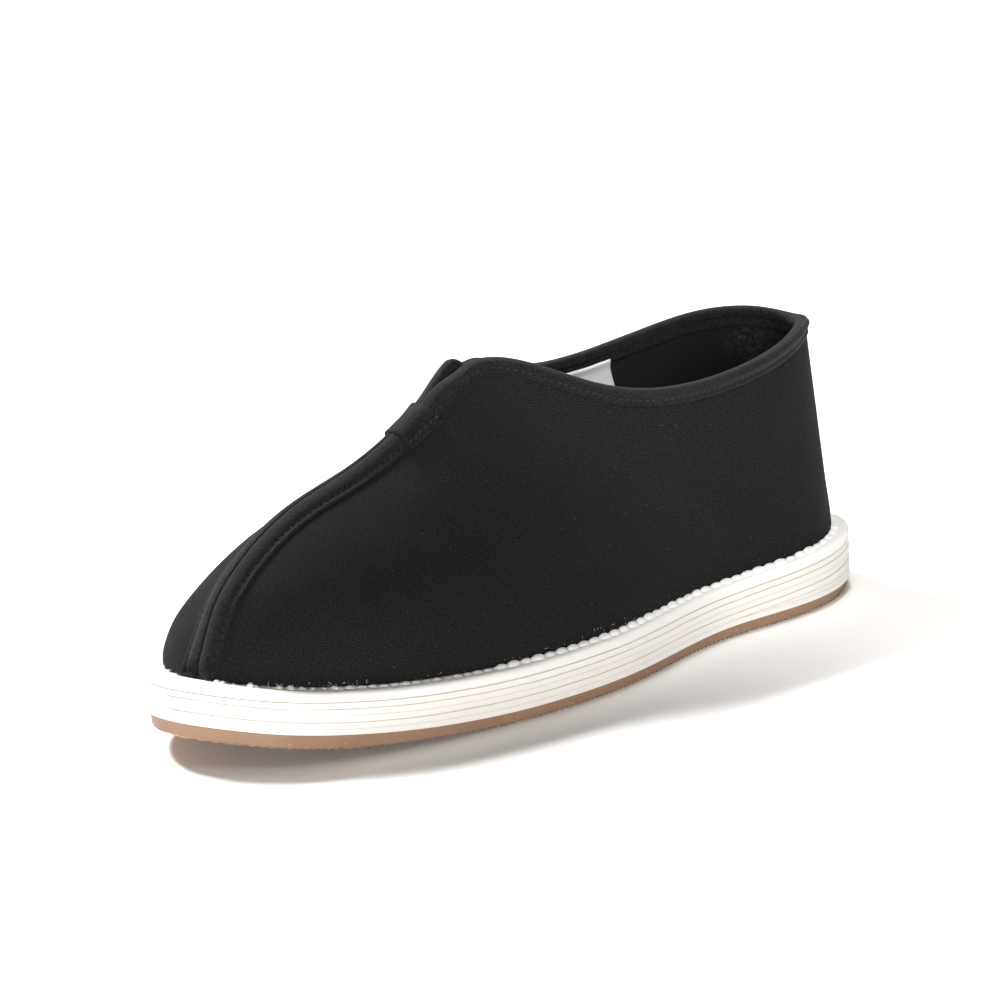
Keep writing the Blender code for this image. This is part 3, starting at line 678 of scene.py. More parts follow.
def black_drill(colors, sizes):
    """Black cotton drill, woven with fine diagonal ribs and slightly napped: matt, with painted shade in the
    furrows between the ribs, uneven slubs and pale specks of lint."""
    material, tree, shader = new_material("black cotton drill", 0.92, sheen=0.01, specular=0.12)
    uv = add(tree, "ShaderNodeUVMap", uv_map="Cloth").outputs["UV"]
    # One rib every wale; wave bands have a period of pi / 10 at scale 1
    bands = math.pi / 10.0 / sizes.wale
    wale = add(tree, "ShaderNodeTexWave", {
        "Vector": uv, "Scale": bands, "Distortion": 1.6, "Detail": 2.0, "Detail Scale": 2.5 / bands * 1000.0,
    }, bands_direction="Y", wave_profile="SIN")
    place = add(tree, "ShaderNodeTexCoord").outputs["Object"]
    # Slubs 0.5 mm thick and 0.8 mm along the thread: coarser than yarn, but as fine as the render can show
    along = add(tree, "ShaderNodeMapping", {"Vector": uv, "Scale": (0.65, 1.0, 1.0)})
    slub = add(tree, "ShaderNodeTexNoise", {
        "Vector": along.outputs[0], "Scale": 1900.0, "Detail": 2.0, "Roughness": 0.8,
    })
    # Specks of lint 0.4 mm wide, and clouds of wear 40 mm wide
    specks = add(tree, "ShaderNodeTexNoise", {
        "Vector": place, "Scale": 2600.0, "Detail": 1.0, "Roughness": 0.5,
    })
    lint = add(tree, "ShaderNodeMapRange", {
        "Value": specks.outputs["Fac"], "From Min": 0.66, "From Max": 0.86, "To Max": 0.30,
    })
    cloud = add(tree, "ShaderNodeTexNoise", {
        "Vector": place, "Scale": 26.0, "Detail": 3.0, "Roughness": 0.55,
    })
    # Bands of the ribs: painted shade in the furrows between the ribs, lighter on the ribs themselves
    base = add(tree, "ShaderNodeMix", {
        0: wale.outputs["Fac"], 6: rgba(shade(colors.drill, 0.80)), 7: rgba(shade(colors.drill, 1.16)),
    }, data_type="RGBA")
    spread = add(tree, "ShaderNodeMapRange", {
        "Value": slub.outputs["Fac"], "From Min": 0.28, "From Max": 0.72,
    })
    grain = add(tree, "ShaderNodeMix", {
        0: spread.outputs["Result"], 6: rgba((0.1, 0.1, 0.1)), 7: rgba((2.3, 2.3, 2.3)),
    }, data_type="RGBA")
    mottled = add(tree, "ShaderNodeMix", {
        0: 0.8, 6: base.outputs[2], 7: grain.outputs[2],
    }, data_type="RGBA", blend_type="MULTIPLY")
    soft = add(tree, "ShaderNodeMix", {
        0: cloud.outputs["Fac"], 6: rgba((0.82, 0.82, 0.82)), 7: rgba((1.18, 1.18, 1.18)),
    }, data_type="RGBA")
    clouded = add(tree, "ShaderNodeMix", {
        0: 1.0, 6: mottled.outputs[2], 7: soft.outputs[2],
    }, data_type="RGBA", blend_type="MULTIPLY")
    dusted = add(tree, "ShaderNodeMix", {
        0: lint.outputs["Result"], 6: clouded.outputs[2], 7: rgba(colors.lint),
    }, data_type="RGBA")
    tree.links.new(dusted.outputs[2], shader.inputs["Base Color"])
    low_wale = add(tree, "ShaderNodeMath", {0: wale.outputs["Fac"], 1: 0.35}, operation="MULTIPLY")
    height = add(tree, "ShaderNodeMath", {0: low_wale.outputs[0], 1: slub.outputs["Fac"]}, operation="ADD")
    bump = add(tree, "ShaderNodeBump", {"Height": height.outputs[0], "Strength": 0.38, "Distance": 0.00018})
    tree.links.new(bump.outputs["Normal"], shader.inputs["Normal"])
    return material


def dust_place():
    """Middle of the dusty patch inside the heel, on the inner side."""
    wall = WALLS[-1]
    return wall.at(wall.row_at(DUST_STATION), DUST_DEPTH, -WALL)


def black_lining(colors):
    """Black plain-weave cotton lining: dull, darker than the outside and dusty inside the heel."""
    material, tree, shader = new_material("black cotton lining", 0.95, sheen=0.12, specular=0.15)
    place = add(tree, "ShaderNodeTexCoord").outputs["Object"]
    # Weave of 0.9 mm, drawn coarser than thread, and clouds 17 mm wide
    weave = add(tree, "ShaderNodeTexNoise", {"Vector": place, "Scale": 1100.0, "Detail": 2.0})
    cloud = add(tree, "ShaderNodeTexNoise", {"Vector": place, "Scale": 60.0, "Detail": 3.0})
    tone = add(tree, "ShaderNodeMix", {
        0: cloud.outputs["Fac"], 6: rgba(shade(colors.lining, 0.8)), 7: rgba(shade(colors.lining, 1.2)),
    }, data_type="RGBA")
    # A thin veil of pale dust round one place, broken into patches of 1.4 mm
    away = add(tree, "ShaderNodeVectorMath", {0: place, 1: tuple(dust_place())}, operation="DISTANCE")
    near = add(tree, "ShaderNodeMapRange", {
        "Value": away.outputs["Value"], "From Min": 0.002, "From Max": 0.011, "To Min": 0.24, "To Max": 0.0,
    })
    broken = add(tree, "ShaderNodeTexNoise", {
        "Vector": place, "Scale": 700.0, "Detail": 4.0, "Roughness": 0.65,
    })
    patchy = add(tree, "ShaderNodeMapRange", {
        "Value": broken.outputs["Fac"], "From Min": 0.42, "From Max": 0.66,
    })
    veil = add(tree, "ShaderNodeMath", {0: near.outputs["Result"], 1: patchy.outputs["Result"]},
               operation="MULTIPLY")
    dusted = add(tree, "ShaderNodeMix", {
        0: veil.outputs[0], 6: tone.outputs[2], 7: rgba(colors.lint),
    }, data_type="RGBA")
    tree.links.new(dusted.outputs[2], shader.inputs["Base Color"])
    bump = add(tree, "ShaderNodeBump", {"Height": weave.outputs["Fac"], "Strength": 0.4, "Distance": 0.00015})
    tree.links.new(bump.outputs["Normal"], shader.inputs["Normal"])
    return material


def bias_tape(colors):
    """Black cotton sateen tape cut on the bias and folded: smoother than the drill, with a soft sheen along
    its bead and fine threads that run across it."""
    material, tree, shader = new_material("black sateen bias tape", 0.84, sheen=0.07, sheen_roughness=0.45,
                                          specular=0.16)
    uv = add(tree, "ShaderNodeUVMap", uv_map="Cloth").outputs["UV"]
    # Threads of 0.5 mm across the tape, about as fine as the render can show
    threads = add(tree, "ShaderNodeTexWave", {
        "Vector": uv, "Scale": math.pi / 10.0 / 0.0005, "Distortion": 1.0, "Detail": 2.0,
    }, bands_direction="X", wave_profile="SIN")
    place = add(tree, "ShaderNodeTexCoord").outputs["Object"]
    # Nap of 0.7 mm, drawn coarser than it is, and clouds 9 mm wide
    nap = add(tree, "ShaderNodeTexNoise", {
        "Vector": place, "Scale": 1500.0, "Detail": 2.0, "Roughness": 0.8,
    })
    spread = add(tree, "ShaderNodeMapRange", {
        "Value": nap.outputs["Fac"], "From Min": 0.32, "From Max": 0.68,
    })
    cloud = add(tree, "ShaderNodeTexNoise", {"Vector": place, "Scale": 110.0, "Detail": 2.0})
    base = add(tree, "ShaderNodeMix", {
        0: spread.outputs["Result"], 6: rgba(shade(colors.tape, 0.15)), 7: rgba(shade(colors.tape, 2.1)),
    }, data_type="RGBA")
    soft = add(tree, "ShaderNodeMix", {
        0: cloud.outputs["Fac"], 6: rgba((0.8, 0.8, 0.8)), 7: rgba((1.2, 1.2, 1.2)),
    }, data_type="RGBA")
    tone = add(tree, "ShaderNodeMix", {
        0: 1.0, 6: base.outputs[2], 7: soft.outputs[2],
    }, data_type="RGBA", blend_type="MULTIPLY")
    tree.links.new(tone.outputs[2], shader.inputs["Base Color"])
    height = add(tree, "ShaderNodeMath", {0: threads.outputs["Fac"], 1: nap.outputs["Fac"]}, operation="ADD")
    bump = add(tree, "ShaderNodeBump", {"Height": height.outputs[0], "Strength": 0.6, "Distance": 0.00014})
    tree.links.new(bump.outputs["Normal"], shader.inputs["Normal"])
    return material


def white_cotton(name, color, shadow, weave_scale, strength, groove=False):
    """Bleached cotton: matt white, with a fine uneven weave. Where a 'groove' value is stored the colour
    turns towards the 'shadow' tint: painted shade in the grooves between the layers."""
    material, tree, shader = new_material(name, 0.9, sheen=0.15, sheen_roughness=0.6, specular=0.2)
    place = add(tree, "ShaderNodeTexCoord").outputs["Object"]
    # The weave is drawn coarser than thread, at 0.7 to 1.4 mm, and the clouds are 22 mm wide
    weave = add(tree, "ShaderNodeTexNoise", {"Vector": place, "Scale": weave_scale, "Detail": 3.0})
    cloud = add(tree, "ShaderNodeTexNoise", {"Vector": place, "Scale": 45.0, "Detail": 3.0})
    tone = add(tree, "ShaderNodeMix", {
        0: cloud.outputs["Fac"], 6: rgba(shade(color, 0.965)), 7: rgba(color),
    }, data_type="RGBA").outputs[2]
    if groove:
        stored = add(tree, "ShaderNodeAttribute", attribute_name="groove").outputs["Fac"]
        # Beige tint in the grooves between the layers: painted shade
        tone = add(tree, "ShaderNodeMix", {0: stored, 6: tone, 7: rgba(shadow)}, data_type="RGBA").outputs[2]
    tree.links.new(tone, shader.inputs["Base Color"])
    bump = add(tree, "ShaderNodeBump", {
        "Height": weave.outputs["Fac"], "Strength": strength, "Distance": 0.0002,
    })
    tree.links.new(bump.outputs["Normal"], shader.inputs["Normal"])
    return material


def gum_rubber(colors):
    """Moulded natural gum rubber: tan and satin, with darker clouds, pale bloom and dust."""
    material, tree, shader = new_material("moulded gum rubber", 0.55, specular=0.45)
    shader.inputs["IOR"].default_value = 1.52
    place = add(tree, "ShaderNodeTexCoord").outputs["Object"]
    # Clouds 26 mm wide and dust of 1.4 mm
    cloud = add(tree, "ShaderNodeTexNoise", {"Vector": place, "Scale": 38.0, "Detail": 4.0, "Roughness": 0.6})
    dust = add(tree, "ShaderNodeTexNoise", {"Vector": place, "Scale": 700.0, "Detail": 2.0})
    amount = add(tree, "ShaderNodeMapRange", {
        "Value": dust.outputs["Fac"], "From Min": 0.68, "From Max": 0.84,
    })
    tone = add(tree, "ShaderNodeMix", {
        0: cloud.outputs["Fac"], 6: rgba(colors.rubber_dark), 7: rgba(colors.rubber),
    }, data_type="RGBA")
    dusted = add(tree, "ShaderNodeMix", {
        0: amount.outputs["Result"], 6: tone.outputs[2], 7: rgba(colors.rubber_bloom),
    }, data_type="RGBA")
    tree.links.new(dusted.outputs[2], shader.inputs["Base Color"])
    bump = add(tree, "ShaderNodeBump", {"Height": dust.outputs["Fac"], "Strength": 0.3, "Distance": 0.0002})
    tree.links.new(bump.outputs["Normal"], shader.inputs["Normal"])
    return material


def thread_material(name, color, roughness=0.8):
    """Spun thread: one colour with a little sheen, unevenly dark in grains of 0.7 mm."""
    material, tree, shader = new_material(name, roughness, sheen=0.3, specular=0.25)
    place = add(tree, "ShaderNodeTexCoord").outputs["Object"]
    fuzz = add(tree, "ShaderNodeTexNoise", {"Vector": place, "Scale": 1400.0, "Detail": 2.0})
    tone = add(tree, "ShaderNodeMix", {
        0: fuzz.outputs["Fac"], 6: rgba(shade(color, 0.75)), 7: rgba(shade(color, 1.2)),
    }, data_type="RGBA")
    tree.links.new(tone.outputs[2], shader.inputs["Base Color"])
    return material


def studio_floor():
    """Plain white paper sweep: matt and even."""
    material, _, shader = new_material("white studio floor", 0.9, specular=0.1)
    shader.inputs["Base Color"].default_value = rgba(linear(FLOOR_COLOR))
    return material


def material(context, key):
    """Each finish is made once, from the colours of the panel."""
    colors, sizes = context.scene.shoe_colors, context.scene.shoe_sizes

    def cotton(color, weave_scale, strength, groove=False):
        # The layer cotton takes the painted shade of its grooves from the panel's colours
        return lambda: white_cotton(key, color, colors.paste, weave_scale, strength, groove)

    makers = {
        "black cotton drill": lambda: black_drill(colors, sizes),
        "black cotton lining": lambda: black_lining(colors),
        "black sateen bias tape": lambda: bias_tape(colors),
        "white wrap cotton": cotton(colors.wrap, 900.0, 0.5),
        "white layer cotton": cotton(colors.layer, 1200.0, 0.3, groove=True),
        "insole canvas": cotton(colors.insole, 700.0, 0.6),
        "white label satin": cotton(colors.label, 1500.0, 0.1),
        "moulded gum rubber": lambda: gum_rubber(colors),
        "black sewing thread": lambda: thread_material(key, colors.black_thread),
        "white hand thread": lambda: thread_material(key, colors.white_thread, 0.9),
        "white lint": lambda: thread_material(key, colors.lint, 0.9),
        "white studio floor": studio_floor,
    }
    found = bpy.data.materials.get(key)
    return found if found is not None else makers[key]()


# Pieces of the upper

def grain_uv(side):
    """Cloth coordinates of the wall: along the foot, and across the straight ribs of the drill."""
    wall = WALLS[side]
    along = wall.foot_distance
    slope = Curve(GRAIN_SLOPE)
    fine = np.linspace(0.0, along[-1], 400)
    climbed = np.concatenate([[0.0], np.cumsum((slope(fine[1:]) + slope(fine[:-1])) / 2.0 * np.diff(fine))])
    height = wall.reached[:, -1:] - wall.reached
    across = height - np.interp(along, fine, climbed)[:, None]
    return np.stack([along[:, None] * np.ones_like(height) * side, across], -1)


def build_upper(context):
    """Drill outside and lining inside as one closed wall, open at the slit, the collar and the foot."""
    rows, columns = LAST_ROW + 1, WALL_COLUMNS + 1
    verts, uv, faces, finish = [], [], [], []
    for side in (1, -1):
        wall = WALLS[side]
        outside = wall.points
        inside = outside - wall.normals * WALL
        foot = outside[:, -1] - wall.foot_outward * WALL
        inside[:, -1] = np.where(np.arange(rows)[:, None] > 0, foot, outside[:, -1] + (0.0, WALL, 0.0))
        inside[:, -1, 2] = sole_top(station_of(inside[:, -1, 1])) + GAP
        inside[0] = inside[0, -1]
        inside[..., 0] = np.maximum(inside[..., 0] * side, 0.0) * side
        closed = np.arange(rows) <= SEAM_STEPS
        inside[closed, 0, 0] = 0.0
        outside = outside.copy()
        outside[closed, 0, 0] = 0.0
        cloth = grain_uv(side)
        for layer, points in ((0, outside), (1, inside)):
            first = len(verts)
            verts.extend(points.reshape(-1, 3))
            uv.extend(cloth.reshape(-1, 2))
            grid = loft_faces(rows, columns, False, first)
            faces.extend(grid)
            finish.extend([layer] * len(grid))
            if layer == 0:
                start = first
        size = rows * columns
        for r in range(rows - 1):
            a, b = start + r * columns, start + (r + 1) * columns
            faces.append((a + columns - 1, b + columns - 1, b + size + columns - 1, a + size + columns - 1))
            finish.append(1)
            if r >= SEAM_STEPS:
                faces.append((a, b, b + size, a + size))
                finish.append(0)
    materials = [material(context, "black cotton drill"), material(context, "black cotton lining")]
    obj = make_object("upper_cloth", verts, faces, materials, uv, finish)
    tidy_mesh(obj)
    return finish_piece(obj, "black_cotton", "upper")


# Section of the binding: distance below the wall's edge on the seam and on the collar, and rise over the
# wall. The first rows are the flat stitched edge, then the stitch furrow, then the bead.
BINDING_OUTSIDE = (
    (0.00680, 0.00435, 0.00015), (0.00682, 0.00436, 0.00050), (0.00662, 0.00412, 0.00066),
    (0.00625, 0.00372, 0.00070), (0.00590, 0.00330, 0.00064), (0.00560, 0.00292, 0.00050),
    (0.00530, 0.00262, 0.00042), (0.00500, 0.00236, 0.00056), (0.00465, 0.00208, 0.00088),
    (0.00410, 0.00176, 0.00118), (0.00340, 0.00140, 0.00140), (0.00260, 0.00104, 0.00151),
    (0.00180, 0.00070, 0.00150), (0.00100, 0.00038, 0.00138), (0.00030, 0.00010, 0.00116),
)
STITCH_ROW = 6
BINDING_INSIDE = (
    (0.0, 0.00095), (0.0008, 0.00102), (0.0015, 0.00092), (0.0020, 0.00066), (0.0024, 0.00040),
    (0.0029, 0.00050), (0.0038, 0.00054), (0.0047, 0.00048), (0.0052, 0.00036), (0.0054, 0.00010),
)
# Place and depth of the stitches inside, then angles of the points round the fold
INSIDE_STITCH = (0.0024, 0.00044)
FOLD_ANGLES = (20.0, 45.0, 70.0, 90.0, 110.0, 135.0, 160.0)
SEAM_CREST = 0.0007
CENTRE_GAP = 0.00012
TAPE_CLEARANCE = 0.00012
SLIT_FADE = 0.012
TAPE_JOIN_STATION = 0.064
TUCKED_SHARE = 0.90
INSIDE_SHARE = 0.9
UNDER_FOLD = (120.0, 90.0, 60.0)
UNDER_FOLD_REACH = 0.0004
UNDER_INSIDE = (0.0050, 0.0025, 0.0)
UNDER_OUTSIDE = (0.0, 0.0030, 0.0068)
UNDER_RISE = 0.0001


def rim_share(place):
    """0 on the seam of the vamp, 1 round the collar, where the tape is folded narrower."""
    return float(smooth((place - SPLIT) / (EDGE_KEYS[SEAM_ROWS + 3] - SPLIT)))


def binding_ring(side, row):
    """Closed section of the binding on one rib, from its stitched edge over the bead and back underneath."""
    wall = WALLS[side]
    place = wall.places[row]
    top, normal = wall.points[row, 0], wall.normals[row, 0]
    narrowing = rim_share(place)
    share = 1.0 - (1.0 - RIM_BINDING_SHARE) * narrowing
    length = wall.reached[row, -1]
    outside = np.array(BINDING_OUTSIDE)
    below = outside[:, 0] * (1.0 - narrowing) + outside[:, 1] * narrowing
    below = np.minimum(below, max(length * 0.98, 1e-5))
    beaded = wall.at(row, below, outside[:, 2])
    opened = smooth((place - (SPLIT - SLIT_FADE)) / SLIT_FADE)
    beyond = -wall.start[row]
    middle = top - normal * (WALL / 2.0)

    def fold(angle, rise, reach):
        angle = math.radians(angle)
        return middle + normal * (math.cos(angle) * (WALL / 2.0 + rise)) + beyond * (math.sin(angle) * reach)

    inside = np.array(BINDING_INSIDE)
    inner_side = wall.at(row, np.minimum(inside[:, 0], length * INSIDE_SHARE), -(WALL + inside[:, 1]))
    folded = [fold(angle, BINDING_INSIDE[0][1], EDGE_RISE) for angle in FOLD_ANGLES]
    folded += list(inner_side)
    folded += [wall.at(row, min(d, length * INSIDE_SHARE), -(WALL + TAPE_CLEARANCE)) for d in UNDER_INSIDE]
    folded += [fold(angle, TAPE_CLEARANCE, UNDER_FOLD_REACH) for angle in UNDER_FOLD]
    folded = np.array(folded)

    count = len(folded)
    crest = top - wall.down[row] * SEAM_CREST + np.array((side * CENTRE_GAP, 0.0, 0.0))
    base = top - wall.down[row] * UNDER_RISE + np.array((side * CENTRE_GAP, 0.0, 0.0))
    steps = np.linspace(0.0, 1.0, count)[:, None]
    meeting = crest + (base - crest) * steps
    closing = meeting + (folded - meeting) * opened
    under = wall.at(row, np.array(UNDER_OUTSIDE) * share, UNDER_RISE)
    ring = np.concatenate([beaded, closing, under])
    if place < EDGE_KEYS[SEAM_ROWS + 2]:
        ring[:, 0] = np.maximum(ring[:, 0] * side, CENTRE_GAP) * side
    return ring


def foot_ring(ring):
    """The binding's lowest section, cut level on the sole."""
    found = ring.copy()
    found[:, 2] = sole_top(station_of(found[:, 1])) + GAP
    return found


def build_binding(context, name, path, node, tucked):
    """One folded tape lofted along the edge. The path lists (side, row) from the toe on, and a tucked end
    narrows into the other tape."""
    rings = [binding_ring(side, row) for side, row in path]
    rings[0] = foot_ring(rings[0])
    if tucked:
        middle = rings[-1].mean(0)
        rings[-1] = middle + (rings[-1] - middle) * TUCKED_SHARE
    verts = np.concatenate(rings)
    faces = tube_faces(len(rings), len(rings[0]))
    along = distances(np.array([ring[:len(BINDING_OUTSIDE)].mean(0) for ring in rings]))
    around = distances(rings[len(rings) // 2])
    uv = np.stack(np.broadcast_arrays(along[:, None], around[None, :]), -1).reshape(-1, 2)
    obj = make_object(name, verts, faces, [material(context, "black sateen bias tape")], uv)
    tidy_mesh(obj)
    return finish_piece(obj, "black_binding", node)


def join_row():
    """Row of the inner side where the two tapes meet."""
    return WALLS[-1].row_at(TAPE_JOIN_STATION)


FIRST_ROW = 4


def binding_paths():
    """Ribs that each tape follows. The outer one goes on round the heel to the join."""
    join = join_row()
    outer = [(1, row) for row in range(FIRST_ROW, LAST_ROW + 1)]
    outer += [(-1, row) for row in range(LAST_ROW - 1, join - 1, -1)]
    inner = [(-1, row) for row in range(FIRST_ROW, join + 2)]
    return outer, inner


# Underside of the cross tab: distance below the wall's edge, and rise over the wall
TAB_RISE = (
    (0.0083, 0.00022), (0.0078, 0.00030), (0.0073, 0.00040), (0.0068, 0.00082), (0.0062, 0.00086),
    (0.0055, 0.00074), (0.0049, 0.00078), (0.0043, 0.00118), (0.0036, 0.00152), (0.0027, 0.00176),
    (0.0018, 0.00176), (0.0009, 0.00164), (0.0003, 0.00148),
)
TAB_THICKNESS = 0.0007
TAB_SINK = 0.0001
TAB_STITCH = (0.0062, 0.00160)

# The label's thickness, its bow off the lining, the curl of its free end, how far its sewn edge stands off,
# how much it then settles, and the ramp down the wall along which it does
LABEL_THICKNESS = 0.00035
LABEL_BOW = 0.0005
LABEL_CURL = 0.0006
LABEL_STAND_OFF = 0.0009
LABEL_SETTLE = 0.0006
LABEL_SETTLES = (0.0052, 0.0012)


def build_tab(context):
    """Cross tab: one strip of tape over both bindings, its ends flat on the drill."""
    first, last = (WALLS[1].row_at(station) for station in TAB_ENDS)
    section = np.array(TAB_RISE)
    rings = []
    for row in range(first, last + 1):
        over, under = [], []
        for lines, rise in ((over, TAB_THICKNESS), (under, -TAB_SINK)):
            lines.append(WALLS[1].at(row, section[:, 0], section[:, 1] + rise))
            lines.append(WALLS[-1].at(row, section[:, 0], section[:, 1] + rise)[::-1])
        rings.append(np.concatenate([over[0], over[1], under[1][::-1], under[0][::-1]]))
    verts = np.concatenate(rings)
    faces = tube_faces(len(rings), len(rings[0]))
    along = distances(np.array([ring.mean(0) for ring in rings]))
    around = distances(rings[0])
    uv = np.stack(np.broadcast_arrays(around[None, :], along[:, None]), -1).reshape(-1, 2)
    obj = make_object("cross_tab_tape", verts, faces, [material(context, "black sateen bias tape")], uv)
    tidy_mesh(obj)
    return finish_piece(obj, "black_binding", "cross_tab")


def build_label(context):
    """Plain satin label on the lining, sewn along its upper edge and curling a little at its free end."""
    wall = WALLS[-1]
    first, last = (wall.row_at(station) for station in LABEL_ENDS)
    depth = np.linspace(LABEL_DEPTHS[0], LABEL_DEPTHS[1], 16)
    rings = []
    for row in range(first, last + 1):
        t = (row - first) / (last - first)
        bow = LABEL_BOW * math.sin(math.pi * t) + LABEL_CURL * t ** 6
        over = LABEL_STAND_OFF - LABEL_SETTLE * ramp(depth, *LABEL_SETTLES)
        lift = WALL + over + bow * ramp(depth, depth[0], depth[-1] - depth[0])
        near = wall.at(row, depth, -(lift + LABEL_THICKNESS))
        far = wall.at(row, depth, -lift)
        rings.append(np.concatenate([near, far[::-1]]))
    faces = tube_faces(len(rings), len(rings[0]))
    obj = make_object("label_satin", np.concatenate(rings), faces, [material(context, "white label satin")])
    tidy_mesh(obj)
    return finish_piece(obj, "label_tape", "label_patch")


# Pieces of the sole

def slab(name, sections, materials, grooves=None, start=1.0):
    """Flat piece of the sole through rings round the outline, from the heel to a station. Each section is
    (inset, level): a length or one for each angle, and a function that gives the heights of a ring."""
    angle = np.linspace(0.0, float(round_key(start)), OUTLINE_STEPS + 1)
    pointed = start >= 1.0
    rings, shades = [], []
    for number, (inset, level) in enumerate(sections):
        outer = outline_at(1, angle, np.broadcast_to(inset, angle.shape))
        inner = outline_at(-1, angle, np.broadcast_to(inset, angle.shape))
        inner = inner[-2:0:-1] if pointed else inner[:0:-1]
        ring = np.concatenate([outer, inner])
        rings.append(np.concatenate([ring, level(ring)[:, None]], -1))
        shades.append(np.full(len(ring), grooves[number] if grooves else 0.0))
    size = len(rings[0])
    verts = np.concatenate(rings)
    faces = loft_faces(len(rings), size, True)
    for first in (0, (len(rings) - 1) * size):
        for i in range(OUTLINE_STEPS):
            quad = [first + i, first + i + 1, first + (size - i - 1) % size, first + (size - i) % size]
            quad = [v for n, v in enumerate(quad) if v not in quad[:n]]
            if len(quad) > 2:
                faces.append(tuple(quad))
    obj = make_object(name, verts, faces, materials, shades={"groove": np.concatenate(shades)})
    return tidy_mesh(obj)


# Thickness of a thin layer, how far hand-laid edges wander up and down, insets from the sole's outline, the
# gap that touching faces keep and the least height of a tapered edge
THIN_LAYER = LAYERS_THICKNESS / LAYER_COUNT
LAYER_WANDER = 0.00018
WRAP_WANDER = 0.00008
LAYER_INSETS = (0.0001, 0.0003)
LIFT_INSET = 0.0002
FACE_GAP = 0.0001
LEAST_EDGE = 0.00008

# Waves of that unevenness: how many go round the sole, and their weight
WANDER_WAVES = ((3, 0.4), (7, 0.3), (13, 0.2), (29, 0.15))


def wander(seed, ring):
    """Slow unevenness of a hand-laid layer, in -1 to 1, from where a point lies round the sole."""
    angle = np.arctan2(ring[:, 0] * 2.0, ring[:, 1])
    total = np.zeros(len(ring))
    for k, weight in WANDER_WAVES:
        total += weight * np.sin(k * angle + seed * 2.4 * k)
    return total


def layer_level(number, ring):
    """Underside of a thin layer, number 1 at the top. Number 0 is the underside of the top layer."""
    station = station_of(ring[:, 1])
    raised = wedge(station) if number < LAYER_COUNT else 0.0
    uneven = LAYER_WANDER * wander(number, ring) if 0 < number < LAYER_COUNT else 0.0
    return rubber_top(station) + THIN_LAYER * (LAYER_COUNT - number) + raised + uneven


# Section of a bound layer's edge: inset, share of its height, how much painted shade the groove gets
LAYER_SECTION = (
    (0.00040, 0.00, 0.9), (0.00016, 0.010, 0.5), (0.00006, 0.05, 0.05), (0.00002, 0.18, 0.0),
    (0.0, 0.50, 0.0), (0.00002, 0.82, 0.0), (0.00006, 0.95, 0.05), (0.00016, 0.990, 0.5),
    (0.00040, 1.00, 0.9),
)
LAYER_SEAM = 0.00003


def bound_slab(context, name, inset, bounds, start=1.0):
    """Slab of layer cotton with a bound edge, between the two levels that bounds gives for a ring."""
    def level(share):
        def found(ring):
            low, high = bounds(ring)
            return low + (high - low) * share
        return found

    sections = [(inset + row[0], level(row[1])) for row in LAYER_SECTION]
    grooves = [row[2] for row in LAYER_SECTION]
    return slab(name, sections, [material(context, "white layer cotton")], grooves, start)


def build_layer(context, number):
    """One thin layer of pasted cloth with its bound edge."""
    def bounds(ring):
        high = layer_level(number - 1, ring) if number > 1 else layers_top(station_of(ring[:, 1]))
        if number == LAYER_COUNT:
            high = high - wedge(station_of(ring[:, 1]))
        return layer_level(number, ring), high - LAYER_SEAM

    obj = bound_slab(context, "sole_layer_%d_cloth" % number, LAYER_INSETS[number % 2], bounds)
    return finish_piece(obj, "sole_cloth", "sole_layer_%d" % number)


def build_lift(context, number):
    """One thin heel lift, tapered to nothing towards the waist of the sole."""
    def bounds(ring):
        station = station_of(ring[:, 1])
        low = rubber_top(station) + THIN_LAYER + LAYER_WANDER * wander(LAYER_COUNT - 1, ring)
        middle = low + np.clip(wedge(station), FACE_GAP, LIFT_THICKNESS)
        high = np.maximum(low + wedge(station), middle + FACE_GAP)
        if number == 2:
            low, middle = middle, high
        return low, low + np.maximum(middle - LAYER_SEAM - low, LEAST_EDGE)

    start = LIFT_1_START if number == 1 else LIFT_2_START
    obj = bound_slab(context, "heel_lift_%d_cloth" % number, LIFT_INSET, bounds, start)
    return finish_piece(obj, "sole_cloth", "heel_lift_%d" % number)


# Section of the wrapped top layer's edge: inset, share of its height
WRAP_SECTION = (
    (0.0009, 0.00), (0.0004, 0.02), (0.00015, 0.10), (0.0, 0.28), (0.0, 0.50), (0.00015, 0.68),
    (0.0005, 0.83), (0.0010, 0.93), (0.0017, 0.985), (0.0028, 1.0), (0.0040, 0.985),
)


def build_wrap(context):
    """Thick top layer wrapped in white cotton: rolled edge, then the rim up to the feather line."""
    def level(share):
        def found(ring):
            station = station_of(ring[:, 1])
            uneven = WRAP_WANDER * wander(9, ring) * share
            return layers_top(station) + FACE_GAP + (TOP_LAYER_THICKNESS - FACE_GAP) * share + uneven
        return found

    sections = [(inset, level(share)) for inset, share in WRAP_SECTION]
    obj = slab("sole_top_wrap", sections, [material(context, "white wrap cotton")])
    return finish_piece(obj, "sole_cloth", "top_layer")


# Section of the insole's edge: inset, height
INSOLE_SECTION = (
    (0.0004, 0.0), (0.0, 0.0005), (0.0, INSOLE_THICKNESS - 0.0010), (0.0003, INSOLE_THICKNESS - 0.0003),
    (0.0010, INSOLE_THICKNESS),
)


def build_insole(context):
    """Loose canvas insole with a softly rounded edge."""
    def level(rise):
        return lambda ring: sole_top(station_of(ring[:, 1])) + GAP + rise

    angle = np.linspace(0.0, math.pi, OUTLINE_STEPS + 1)
    margin = margin_at(angle) + WALL + INSOLE_CLEARANCE
    sections = [(margin + inset, level(rise)) for inset, rise in INSOLE_SECTION]
    obj = slab("insole_canvas", sections, [material(context, "insole canvas")])
    return finish_piece(obj, "insole_cloth", "insole")


